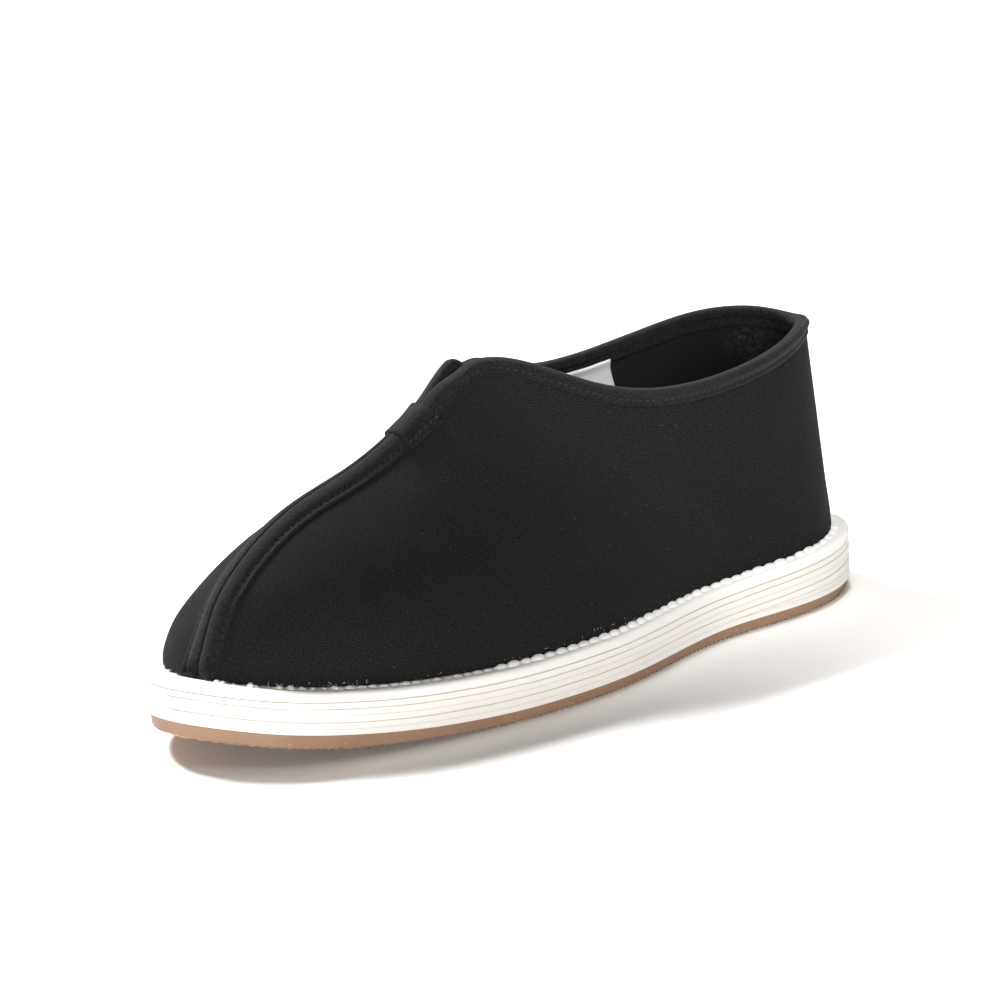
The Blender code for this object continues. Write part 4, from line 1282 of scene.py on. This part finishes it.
# Depth of the tread's ribs, how far up the side they reach and how full they are, extra depth of the rubber
# at the toe and the ramp of stations along which it comes in, rows along the sole
RIB_DEPTH = 0.0007
RIB_REACH = (0.0, 0.22)
RIB_FULLNESS = 0.7
TOE_RUBBER = 0.0010
TOE_RUBBER_STATIONS = (0.72, 0.16)
RUBBER_ROWS = 1300

# Section of the rubber's side: inset, share of its thickness
RUBBER_SECTION = (
    (0.0007, 0.0), (0.0004, 0.06), (0.0003, 0.14), (0.0002, 0.5), (0.0001, 0.9), (0.0004, 0.985),
)


def build_outsole(context):
    """Gum rubber with fine cross ribs underneath, cut through to its side, so its lower edge is toothed."""
    pitch = context.scene.shoe_sizes.tread_pitch
    angle = np.linspace(0.0, math.pi, 1201)
    turn = np.linspace(0.0, math.pi, RUBBER_ROWS + 1)

    def x_lines(inset, ys):
        found = []
        for side in (1, -1):
            line = outline_at(side, angle, np.full_like(angle, RUBBER_INSET + inset))
            found.append(np.interp(-ys, -line[:, 1], line[:, 0]))
        return found

    def tips(inset):
        line = outline_at(1, angle, np.full_like(angle, RUBBER_INSET + inset))
        return line[0, 1], line[-1, 1]

    rows = []
    for inset, share in RUBBER_SECTION:
        heel, toe = tips(inset)
        ys = (heel + toe) / 2.0 + (heel - toe) / 2.0 * np.cos(turn)
        right, left = x_lines(inset, ys)
        station = station_of(ys)
        tooth = 0.5 - 0.5 * np.cos(2.0 * math.pi * ys / pitch)
        cut = RIB_DEPTH * tooth ** RIB_FULLNESS * (1.0 - ramp(share, *RIB_REACH))
        toe = ramp(station, *TOE_RUBBER_STATIONS)
        z = floor_level(station) + cut + (RUBBER_THICKNESS - FACE_GAP) * share
        z -= TOE_RUBBER * toe * (1.0 - share)
        rows.append((right, left, ys, z))
    verts, index = [], []
    for right, left, ys, z in rows:
        index.append((len(verts), len(verts) + len(ys)))
        verts.extend(np.stack([right, ys, z], -1))
        verts.extend(np.stack([left, ys, z], -1))
    faces = []
    for low, high in zip(index, index[1:]):
        for k in (0, 1):
            for i in range(RUBBER_ROWS):
                faces.append((low[k] + i, low[k] + i + 1, high[k] + i + 1, high[k] + i))
    for ring in (index[0], index[-1]):
        for i in range(RUBBER_ROWS):
            faces.append((ring[0] + i, ring[0] + i + 1, ring[1] + i + 1, ring[1] + i))
    rubber = [material(context, "moulded gum rubber")]
    obj = make_object("outsole_rubber", verts, faces, rubber, smooth_faces=False)
    tidy_mesh(obj, 1e-7)
    return finish_piece(obj, "gum_rubber", "outsole")


# Geometry Nodes: rows of stitches and loose fibres

def new_tree(name, floats, ints=()):
    """Geometry tree with a geometry in and out, and named inputs."""
    tree = bpy.data.node_groups.new(name, "GeometryNodeTree")
    tree.interface.new_socket("Geometry", in_out="INPUT", socket_type="NodeSocketGeometry")
    for key in floats:
        tree.interface.new_socket(key, in_out="INPUT", socket_type="NodeSocketFloat")
    for key in ints:
        tree.interface.new_socket(key, in_out="INPUT", socket_type="NodeSocketInt")
    tree.interface.new_socket("Material", in_out="INPUT", socket_type="NodeSocketMaterial")
    tree.interface.new_socket("Geometry", in_out="OUTPUT", socket_type="NodeSocketGeometry")
    return tree, tree.nodes.new("NodeGroupInput").outputs, tree.nodes.new("NodeGroupOutput").inputs


def stitch_row_tree():
    """Stitches at equal steps along a line, laid along it and turned to the cloth's 'up'."""
    sizes = ("Pitch", "Length", "Width", "Height", "Slant", "Uneven")
    tree, given, wanted = new_tree("Row of stitches", sizes, ("Seed",))
    curve = add(tree, "GeometryNodeMeshToCurve", {"Mesh": given["Geometry"]})
    steps = add(tree, "GeometryNodeResampleCurve", {"Curve": curve.outputs[0], "Length": given["Pitch"]},
                mode="LENGTH")
    bead = add(tree, "GeometryNodeMeshUVSphere", {"Segments": 10, "Rings": 7, "Radius": 0.5})
    size = add(tree, "ShaderNodeCombineXYZ", {
        "X": given["Length"], "Y": given["Width"], "Z": given["Height"],
    })
    low = add(tree, "ShaderNodeMath", {0: 1.0, 1: given["Uneven"]}, operation="SUBTRACT")
    high = add(tree, "ShaderNodeMath", {0: 1.0, 1: given["Uneven"]}, operation="ADD")
    random = add(tree, "FunctionNodeRandomValue", {
        2: low.outputs[0], 3: high.outputs[0], "Seed": given["Seed"],
    }, data_type="FLOAT")
    sized = add(tree, "ShaderNodeVectorMath", {
        0: size.outputs[0], "Scale": random.outputs[1],
    }, operation="SCALE")
    tangent = add(tree, "GeometryNodeInputTangent")
    up = add(tree, "GeometryNodeInputNamedAttribute", {"Name": "up"}, data_type="FLOAT_VECTOR")
    laid = add(tree, "FunctionNodeAlignRotationToVector", {"Vector": tangent.outputs[0]}, axis="X")
    turned = add(tree, "FunctionNodeAlignRotationToVector", {
        "Rotation": laid.outputs[0], "Vector": up.outputs[0],
    }, axis="Z", pivot_axis="X")
    slant = add(tree, "FunctionNodeAxisAngleToRotation", {"Axis": (0.0, 0.0, 1.0), "Angle": given["Slant"]})
    slanted = add(tree, "FunctionNodeRotateRotation", {
        "Rotation": turned.outputs[0], "Rotate By": slant.outputs[0],
    }, rotation_space="LOCAL")
    copies = add(tree, "GeometryNodeInstanceOnPoints", {
        "Points": steps.outputs[0], "Instance": bead.outputs[0], "Rotation": slanted.outputs[0],
        "Scale": sized.outputs[0],
    })
    solid = add(tree, "GeometryNodeRealizeInstances", {"Geometry": copies.outputs[0]})
    smoothed = add(tree, "GeometryNodeSetShadeSmooth", {"Geometry": solid.outputs[0]})
    painted = add(tree, "GeometryNodeSetMaterial", {
        "Geometry": smoothed.outputs[0], "Material": given["Material"],
    })
    tree.links.new(painted.outputs[0], wanted["Geometry"])
    return tree


def run_nodes(obj, tree, **inputs):
    """Runs the tree on an object and returns the result as a plain mesh object of its own."""
    modifier = obj.modifiers.new("Nodes", "NODES")
    modifier.node_group = tree
    for item in tree.interface.items_tree:
        if item.in_out == "INPUT" and item.name.lower() in inputs:
            modifier[item.identifier] = inputs[item.name.lower()]
    bpy.context.view_layer.update()
    evaluated = obj.evaluated_get(bpy.context.evaluated_depsgraph_get())
    mesh = bpy.data.meshes.new_from_object(evaluated)
    if not mesh.polygons:
        raise RuntimeError("%s gave no faces for %s" % (tree.name, obj.name))
    name = obj.name
    data = obj.data
    bpy.data.objects.remove(obj, do_unlink=True)
    bpy.data.meshes.remove(data)
    mesh.name = name
    result = bpy.data.objects.new(name, mesh)
    bpy.context.scene.collection.objects.link(result)
    return result


def shared_tree(name, maker):
    """Each tree is made once."""
    found = bpy.data.node_groups.get(name)
    return found if found is not None else maker()


# Machine stitches: rise of the thread's middle, width, height outside and inside, first row of the collar
THREAD_LIFT = 0.0001
THREAD_WIDTH = 0.00042
THREAD_HEIGHT = 0.00034
INSIDE_THREAD_HEIGHT = 0.00012
TAB_THREAD = 0.0004
COLLAR_ROW = SEAM_STEPS + 34
FIRST_STITCH = 4


def sew(context, name, points, ups, finish, slot, **sizes):
    """One row of stitches along a line."""
    tree = shared_tree("Row of stitches", stitch_row_tree)
    obj = run_nodes(line_object(name, points, ups), tree, material=material(context, finish), **sizes)
    return finish_piece(obj, slot)


def stitch_line(rows, inside):
    """Points and normals along the furrow of a binding: rows lists (side, row)."""
    points, ups = [], []
    for side, row in rows:
        wall = WALLS[side]
        seam, rim, rise = BINDING_OUTSIDE[STITCH_ROW]
        narrowing = rim_share(wall.places[row])
        distance = seam * (1.0 - narrowing) + rim * narrowing
        if inside:
            distance, rise = INSIDE_STITCH[0], -(WALL + INSIDE_STITCH[1])
        point = wall.at(row, distance, rise + (-THREAD_LIFT if inside else THREAD_LIFT))
        points.append(point)
        up = wall.at(row, distance, 1.0) - wall.at(row, distance, 0.0)
        ups.append(-up if inside else up)
    return np.array(points), np.array(ups)


def build_machine_stitches(context):
    """Black machine stitches across the tab and in the furrow of both bindings, outside and inside."""
    pitch = context.scene.shoe_sizes.machine_pitch
    outer, inner = binding_paths()
    open_outer = [(side, row) for side, row in outer if row > COLLAR_ROW]
    open_inner = [(side, row) for side, row in inner[:-1] if row > COLLAR_ROW]
    first, last = (WALLS[1].row_at(station) for station in TAB_ENDS)
    for side, label in ((1, "outer"), (-1, "inner")):
        wall = WALLS[side]
        rows = range(first + 1, last)
        points = np.array([wall.at(row, TAB_STITCH[0], TAB_STITCH[1]) for row in rows])
        ups = np.array([wall.at(row, TAB_STITCH[0], 1.0) for row in rows]) - points
        sew(context, "tab_stitches_" + label, points, ups, "black sewing thread", "black_binding",
            pitch=pitch * 0.8, length=pitch * 0.5, width=TAB_THREAD, height=TAB_THREAD, slant=0.3, uneven=0.2,
            seed=13 + side)
    for name, rows, inside, seed in (
        ("binding_stitches_outer", outer[FIRST_STITCH:], False, 3),
        ("binding_stitches_inner", inner[FIRST_STITCH:-1], False, 7),
        ("lining_stitches_outer", open_outer, True, 5),
        ("lining_stitches_inner", open_inner, True, 9),
    ):
        points, ups = stitch_line(rows, inside)
        sew(context, name, points, ups, "black sewing thread", "black_binding", pitch=pitch,
            length=pitch * 0.62, width=THREAD_WIDTH, height=INSIDE_THREAD_HEIGHT if inside else THREAD_HEIGHT,
            slant=0.22, uneven=0.16, seed=seed)


def feather_line(side, outward, rise):
    """Line round the foot of the upper, from the toe to the heel."""
    wall = WALLS[side]
    foot = wall.points[:, -1] + wall.foot_outward * outward
    foot[:, 2] = sole_top(station_of(foot[:, 1])) + rise
    return foot


# Hand stitches round the foot: station range, pitch and height over the panel's values, unevenness.
# They are torn and ragged at the toe, flat along the ball and full along the waist.
HAND_ZONES = (
    ("toe", 1.00, 0.86, 0.36, 0.35, 0.45), ("ball", 0.86, 0.66, 0.75, 0.40, 0.12),
    ("waist", 0.66, 0.30, 1.00, 0.90, 0.10), ("heel", 0.30, 0.00, 1.00, 0.70, 0.14),
)


# Place of their row from the foot of the upper, length over the pitch, width, heights of the flattest
# stitch and of what the zone's share adds, slant in radians
HAND_ROW = (0.0010, -0.0010)
HAND_LENGTH = 1.34
HAND_WIDTH = 0.0042
HAND_HEIGHTS = (0.0018, 0.0030)
HAND_SLANT = 0.15
POINTS_AT_BINDING = 6


def build_sole_stitches(context):
    """White hand stitches that draw the upper down on the sole: a low scalloped row round the foot."""
    hand_pitch = context.scene.shoe_sizes.hand_pitch
    for side, label in ((1, "outer"), (-1, "inner")):
        line = feather_line(side, *HAND_ROW)
        station = station_of(line[:, 1])
        for seed, (zone, first, last, pitch, height, uneven) in enumerate(HAND_ZONES):
            points = line[(station <= first) & (station > last)]
            if zone == "toe":
                points = points[POINTS_AT_BINDING:]
            ups = np.tile((0.0, 0.0, 1.0), (len(points), 1))
            name = "sole_stitches_%s_%s" % (zone, label)
            sew(context, name, points, ups, "white hand thread", "sole_cloth",
                pitch=hand_pitch * pitch, length=hand_pitch * pitch * HAND_LENGTH, width=HAND_WIDTH,
                height=HAND_HEIGHTS[0] + HAND_HEIGHTS[1] * height, slant=HAND_SLANT * side, uneven=uneven,
                seed=seed + 20 + side)


def loose_fibre_tree():
    """Short bent hairs scattered over a surface: lint on the cloth and ravelled ends at the sole."""
    tree, given, wanted = new_tree("Loose fibres", ("Density", "Length", "Thickness", "Tilt"), ("Seed",))
    spots = add(tree, "GeometryNodeDistributePointsOnFaces", {
        "Mesh": given["Geometry"], "Density": given["Density"], "Seed": given["Seed"],
    }, distribute_method="RANDOM")
    arc = add(tree, "GeometryNodeCurveArc", {
        "Resolution": 6, "Radius": given["Length"], "Sweep Angle": 1.2,
    }, mode="RADIUS")
    section = add(tree, "GeometryNodeCurvePrimitiveCircle", {
        "Resolution": 3, "Radius": given["Thickness"],
    }, mode="RADIUS")
    hair = add(tree, "GeometryNodeCurveToMesh", {
        "Curve": arc.outputs[0], "Profile Curve": section.outputs[0], "Fill Caps": True,
    })
    back = add(tree, "ShaderNodeMath", {0: given["Length"], 1: -1.0}, operation="MULTIPLY")
    shift = add(tree, "ShaderNodeCombineXYZ", {"X": back.outputs[0], "Z": given["Thickness"]})
    rooted = add(tree, "GeometryNodeTransform", {
        "Geometry": hair.outputs[0], "Translation": shift.outputs[0],
    })
    down = add(tree, "ShaderNodeMath", {0: given["Tilt"], 1: -1.0}, operation="MULTIPLY")
    low = add(tree, "ShaderNodeCombineXYZ", {"X": down.outputs[0], "Y": down.outputs[0], "Z": 0.0})
    high = add(tree, "ShaderNodeCombineXYZ", {"X": given["Tilt"], "Y": given["Tilt"], "Z": 2.0 * math.pi})
    twist = add(tree, "FunctionNodeRandomValue", {
        0: low.outputs[0], 1: high.outputs[0], "Seed": given["Seed"],
    }, data_type="FLOAT_VECTOR")
    euler = add(tree, "FunctionNodeEulerToRotation", {0: twist.outputs[0]})
    turned = add(tree, "FunctionNodeRotateRotation", {
        "Rotation": spots.outputs["Rotation"], "Rotate By": euler.outputs[0],
    }, rotation_space="LOCAL")
    size = add(tree, "FunctionNodeRandomValue", {2: 0.35, 3: 1.0, "Seed": given["Seed"]}, data_type="FLOAT")
    copies = add(tree, "GeometryNodeInstanceOnPoints", {
        "Points": spots.outputs[0], "Instance": rooted.outputs[0], "Rotation": turned.outputs[0],
        "Scale": size.outputs[1],
    })
    solid = add(tree, "GeometryNodeRealizeInstances", {"Geometry": copies.outputs[0]})
    painted = add(tree, "GeometryNodeSetMaterial", {
        "Geometry": solid.outputs[0], "Material": given["Material"],
    })
    tree.links.new(painted.outputs[0], wanted["Geometry"])
    return tree


def wall_patch(name, side, columns, stations=(1.0, 0.0), rise=0.0):
    """Plain sheet over part of the upper's outside that fibres are scattered on."""
    wall = WALLS[side]
    place = EDGE(wall.places)[..., 0]
    rows = (place <= stations[0]) & (place >= stations[1])
    rows[:2] = False
    points = (wall.points + wall.normals * rise)[rows][:, columns]
    faces = loft_faces(points.shape[0], points.shape[1], False)
    if side > 0:
        faces = [face[::-1] for face in faces]
    return make_object(name, points.reshape(-1, 3), faces, [])


# Loose fibres: name, columns of the wall, stations, rise over it, fibres in a square metre, length,
# thickness, tilt in radians, finish, slot
WHOLE_WALL = slice(5, WALL_COLUMNS - 1)
FOOT_OF_WALL = slice(WALL_COLUMNS - 2, None)
FIBRES = (
    ("lint", WHOLE_WALL, (1.00, 0.00), 0.00004, 9000.0, 0.0006, 0.00003, 0.15,
     "white lint", "black_cotton"),
    ("torn_ends", FOOT_OF_WALL, (1.00, 0.88), 0.0009, 500000.0, 0.0011, 0.00005, 1.2,
     "white hand thread", "sole_cloth"),
    ("white_hairs", FOOT_OF_WALL, (0.88, 0.55), 0.0004, 160000.0, 0.0010, 0.00003, 0.9,
     "white hand thread", "sole_cloth"),
    ("black_fuzz", FOOT_OF_WALL, (0.70, 0.00), 0.0007, 180000.0, 0.0010, 0.00003, 1.2,
     "black sewing thread", "black_cotton"),
)


def build_fibres(context):
    """Lint on the black cloth, torn white ends at the toe and black fuzz over the white edge."""
    tree = shared_tree("Loose fibres", loose_fibre_tree)
    for side, label in ((1, "outer"), (-1, "inner")):
        for seed, row in enumerate(FIBRES):
            name, columns, stations, rise, density, length, thickness, tilt, finish, slot = row
            sheet = wall_patch(name + "_" + label, side, columns, stations, rise)
            obj = run_nodes(sheet, tree, density=density, length=length, thickness=thickness, tilt=tilt,
                            seed=seed * 3 + 40 + side, material=material(context, finish))
            finish_piece(obj, slot)


# Stage

def turned(first, second, angle):
    """Two axes turned in their own plane."""
    cos, sin = math.cos(angle), math.sin(angle)
    return first * cos + second * sin, second * cos - first * sin


def camera_axes():
    """Place and axes of the camera: round the target, then rolled, then aimed off its middle."""
    azimuth, elevation = math.radians(CAMERA_AZIMUTH), math.radians(CAMERA_ELEVATION)
    back = Vector((math.sin(azimuth) * math.cos(elevation), -math.cos(azimuth) * math.cos(elevation),
                   math.sin(elevation)))
    right = Vector((math.cos(azimuth), math.sin(azimuth), 0.0))
    up = back.cross(right)
    right, up = turned(right, up, math.radians(CAMERA_ROLL))
    place = CAMERA_TARGET + back * CAMERA_DISTANCE
    turn_x = math.atan((CAMERA_AIM_PIXELS[0] - FRAME_PIXELS / 2) / CAMERA_FOCAL_PIXELS)
    turn_y = math.atan((CAMERA_AIM_PIXELS[1] - FRAME_PIXELS / 2) / CAMERA_FOCAL_PIXELS)
    ahead, right = turned(-back, right, -turn_x)
    ahead, up = turned(ahead, up, turn_y)
    return place, right, up, -ahead


def build_camera(context):
    """Camera that was fitted to the photograph."""
    place, right, up, back = camera_axes()
    data = bpy.data.cameras.new("photo_camera")
    data.sensor_width = SENSOR_WIDTH
    data.lens = CAMERA_FOCAL_PIXELS / FRAME_PIXELS * SENSOR_WIDTH
    data.clip_end = 50.0
    camera = bpy.data.objects.new("photo_camera", data)
    turn = Matrix((right, up, back)).transposed().to_4x4()
    camera.matrix_world = Matrix.Translation(place) @ turn
    context.scene.collection.objects.link(camera)
    context.scene.camera = camera


def add_light(context, kind, name, place, aim, power, **settings):
    """Adds a light that is turned towards a point."""
    data = bpy.data.lights.new(name, kind)
    data.energy = power
    for key, value in settings.items():
        setattr(data, key, value)
    light = bpy.data.objects.new(name, data)
    light.location = place
    light.rotation_euler = (Vector(aim) - Vector(place)).to_track_quat("-Z", "Y").to_euler()
    context.scene.collection.objects.link(light)


def build_stage(context):
    """White floor, dim warm surround, softboxes behind, in front and above, and the spots that fill in."""
    size = FLOOR_REACH
    corners = [(-size, -size, 0.0), (size, -size, 0.0), (size, size, 0.0), (-size, size, 0.0)]
    floor = make_object("studio_floor", corners, [(0, 1, 2, 3)], [material(context, "white studio floor")])
    world = bpy.data.worlds.new("white studio")
    context.scene.world = world
    world.use_nodes = True
    surround = world.node_tree.nodes["Background"].inputs
    surround["Color"].default_value = rgba(linear(SURROUND_COLOR))
    surround["Strength"].default_value = SURROUND_STRENGTH
    for name, place, aim, (width, height), power in SOFTBOXES:
        add_light(context, "AREA", name, place, aim, power, shape="RECTANGLE", size=width, size_y=height)
    for name, place, aim, cone, power in SPOTS:
        add_light(context, "SPOT", name, place, aim, power, spot_size=math.radians(cone), spot_blend=1.0,
                  shadow_soft_size=SPOT_RADIUS)
    context.scene.view_settings.view_transform = "Standard"
    build_camera(context)


# Add-on: properties, operators and panel

class ShoeSizes(bpy.types.PropertyGroup):
    """Sizes of the cloth, the stitches and the tread."""

    wale: bpy.props.FloatProperty(
        name="Drill rib", description="Spacing of the cloth's ribs", default=0.00095, unit="LENGTH")
    machine_pitch: bpy.props.FloatProperty(
        name="Machine stitch", description="Spacing of the stitches in the bindings", default=0.0025,
        unit="LENGTH")
    hand_pitch: bpy.props.FloatProperty(
        name="Hand stitch", description="Spacing of the white stitches round the foot", default=0.0048,
        unit="LENGTH")
    tread_pitch: bpy.props.FloatProperty(
        name="Tread rib", description="Spacing of the ribs under the rubber", default=0.0022, unit="LENGTH")


def color_property(name, description, code):
    """Colour of the panel with an sRGB hex value as its default."""
    return bpy.props.FloatVectorProperty(name=name, description=description, default=linear(code),
                                         subtype="COLOR", size=3, min=0.0, max=1.0)


class ShoeColors(bpy.types.PropertyGroup):
    """Colours of the finishes, set from sRGB hex values."""

    drill: color_property("Drill", "Black cotton drill of the upper", "#161817")
    lining: color_property("Lining", "Black cotton lining", "#0f0f0e")
    tape: color_property("Tape", "Black sateen tape of the bindings", "#161716")
    lint: color_property("Lint", "Pale lint on the black cloth", "#626562")
    wrap: color_property("Wrap", "White cotton round the top layer", "#f1f1ee")
    layer: color_property("Layers", "White cotton of the thin layers", "#f1efea")
    # Beige tint of the grooves between the sole layers: painted shade
    paste: color_property("Groove shade", "Painted shade in the grooves between the layers", "#d4c6ac")
    insole: color_property("Insole", "Canvas of the insole", "#cfcdc6")
    label: color_property("Label", "Plain satin label", "#f4f4f6")
    rubber: color_property("Rubber", "Gum rubber", "#a5866d")
    rubber_dark: color_property("Rubber, darker", "Darker clouds in the gum rubber", "#8a6a51")
    rubber_bloom: color_property("Rubber bloom", "Pale bloom and dust on the rubber", "#c9b7a6")
    black_thread: color_property("Black thread", "Machine thread", "#0d0d0d")
    white_thread: color_property("White thread", "Hand thread round the foot", "#f8f8f6")


class SHOE_OT_upper(bpy.types.Operator):
    """Adds the upper: drill outside, lining inside"""

    bl_idname = "shoe.upper"
    bl_label = "Upper"

    def execute(self, context):
        build_upper(context)
        return {"FINISHED"}


class SHOE_OT_bindings(bpy.types.Operator):
    """Adds the two folded tapes along the seam, slit and collar"""

    bl_idname = "shoe.bindings"
    bl_label = "Bindings"

    def execute(self, context):
        outer, inner = binding_paths()
        build_binding(context, "binding_outer_tape", outer, "binding_outer_side", False)
        build_binding(context, "binding_inner_tape", inner, "binding_inner_side", True)
        return {"FINISHED"}


class SHOE_OT_cross_tab(bpy.types.Operator):
    """Adds the cross tab below the slit"""

    bl_idname = "shoe.cross_tab"
    bl_label = "Cross tab"

    def execute(self, context):
        build_tab(context)
        return {"FINISHED"}


class SHOE_OT_label(bpy.types.Operator):
    """Adds the plain label on the lining"""

    bl_idname = "shoe.label"
    bl_label = "Plain label"

    def execute(self, context):
        build_label(context)
        return {"FINISHED"}


class SHOE_OT_machine_stitches(bpy.types.Operator):
    """Adds the machine stitches of the bindings"""

    bl_idname = "shoe.machine_stitches"
    bl_label = "Machine stitches"

    def execute(self, context):
        build_machine_stitches(context)
        return {"FINISHED"}


class SHOE_OT_insole(bpy.types.Operator):
    """Adds the canvas insole"""

    bl_idname = "shoe.insole"
    bl_label = "Insole"

    def execute(self, context):
        build_insole(context)
        return {"FINISHED"}


class SHOE_OT_top_wrap(bpy.types.Operator):
    """Adds the wrapped top layer of the sole"""

    bl_idname = "shoe.top_wrap"
    bl_label = "Wrapped top layer"

    def execute(self, context):
        build_wrap(context)
        return {"FINISHED"}


class SHOE_OT_sole_layers(bpy.types.Operator):
    """Adds the thin layers and the heel lifts"""

    bl_idname = "shoe.sole_layers"
    bl_label = "Sole layers"

    def execute(self, context):
        for number in range(1, LAYER_COUNT + 1):
            build_layer(context, number)
        for number in (1, 2):
            build_lift(context, number)
        return {"FINISHED"}


class SHOE_OT_outsole(bpy.types.Operator):
    """Adds the ribbed gum rubber"""

    bl_idname = "shoe.outsole"
    bl_label = "Outsole"

    def execute(self, context):
        build_outsole(context)
        return {"FINISHED"}


class SHOE_OT_sole_stitches(bpy.types.Operator):
    """Adds the white hand stitches round the foot"""

    bl_idname = "shoe.sole_stitches"
    bl_label = "Hand stitches"

    def execute(self, context):
        build_sole_stitches(context)
        return {"FINISHED"}


class SHOE_OT_fibres(bpy.types.Operator):
    """Adds lint, torn ends and fuzz"""

    bl_idname = "shoe.fibres"
    bl_label = "Loose fibres"

    def execute(self, context):
        build_fibres(context)
        return {"FINISHED"}


class SHOE_OT_stage(bpy.types.Operator):
    """Adds the floor, the lights and the camera"""

    bl_idname = "shoe.stage"
    bl_label = "Stage"

    def execute(self, context):
        build_stage(context)
        return {"FINISHED"}


OPERATORS = (
    SHOE_OT_upper, SHOE_OT_bindings, SHOE_OT_cross_tab, SHOE_OT_label, SHOE_OT_machine_stitches,
    SHOE_OT_insole, SHOE_OT_top_wrap, SHOE_OT_sole_layers, SHOE_OT_outsole, SHOE_OT_sole_stitches,
    SHOE_OT_fibres, SHOE_OT_stage,
)


class VIEW3D_PT_cloth_shoe(bpy.types.Panel):
    """Lists the pieces of the shoe with their sizes and colours."""

    bl_label = "Cloth Shoe"
    bl_space_type = "VIEW_3D"
    bl_region_type = "UI"
    bl_category = "Cloth Shoe"

    def draw(self, context):
        layout = self.layout
        for group in (context.scene.shoe_sizes, context.scene.shoe_colors):
            box = layout.box()
            for key in group.__annotations__:
                box.prop(group, key)
        for operator in OPERATORS:
            layout.operator(operator.bl_idname)


CLASSES = (ShoeSizes, ShoeColors, *OPERATORS, VIEW3D_PT_cloth_shoe)


def register():
    for item in CLASSES:
        bpy.utils.register_class(item)
    bpy.types.Scene.shoe_sizes = bpy.props.PointerProperty(type=ShoeSizes)
    bpy.types.Scene.shoe_colors = bpy.props.PointerProperty(type=ShoeColors)


def unregister():
    del bpy.types.Scene.shoe_colors
    del bpy.types.Scene.shoe_sizes
    for item in reversed(CLASSES):
        bpy.utils.unregister_class(item)


def main():
    """Builds everything in order."""
    register()
    for operator in OPERATORS:
        group, name = operator.bl_idname.split(".")
        getattr(getattr(bpy.ops, group), name)()


if __name__ == "__main__":
    main()
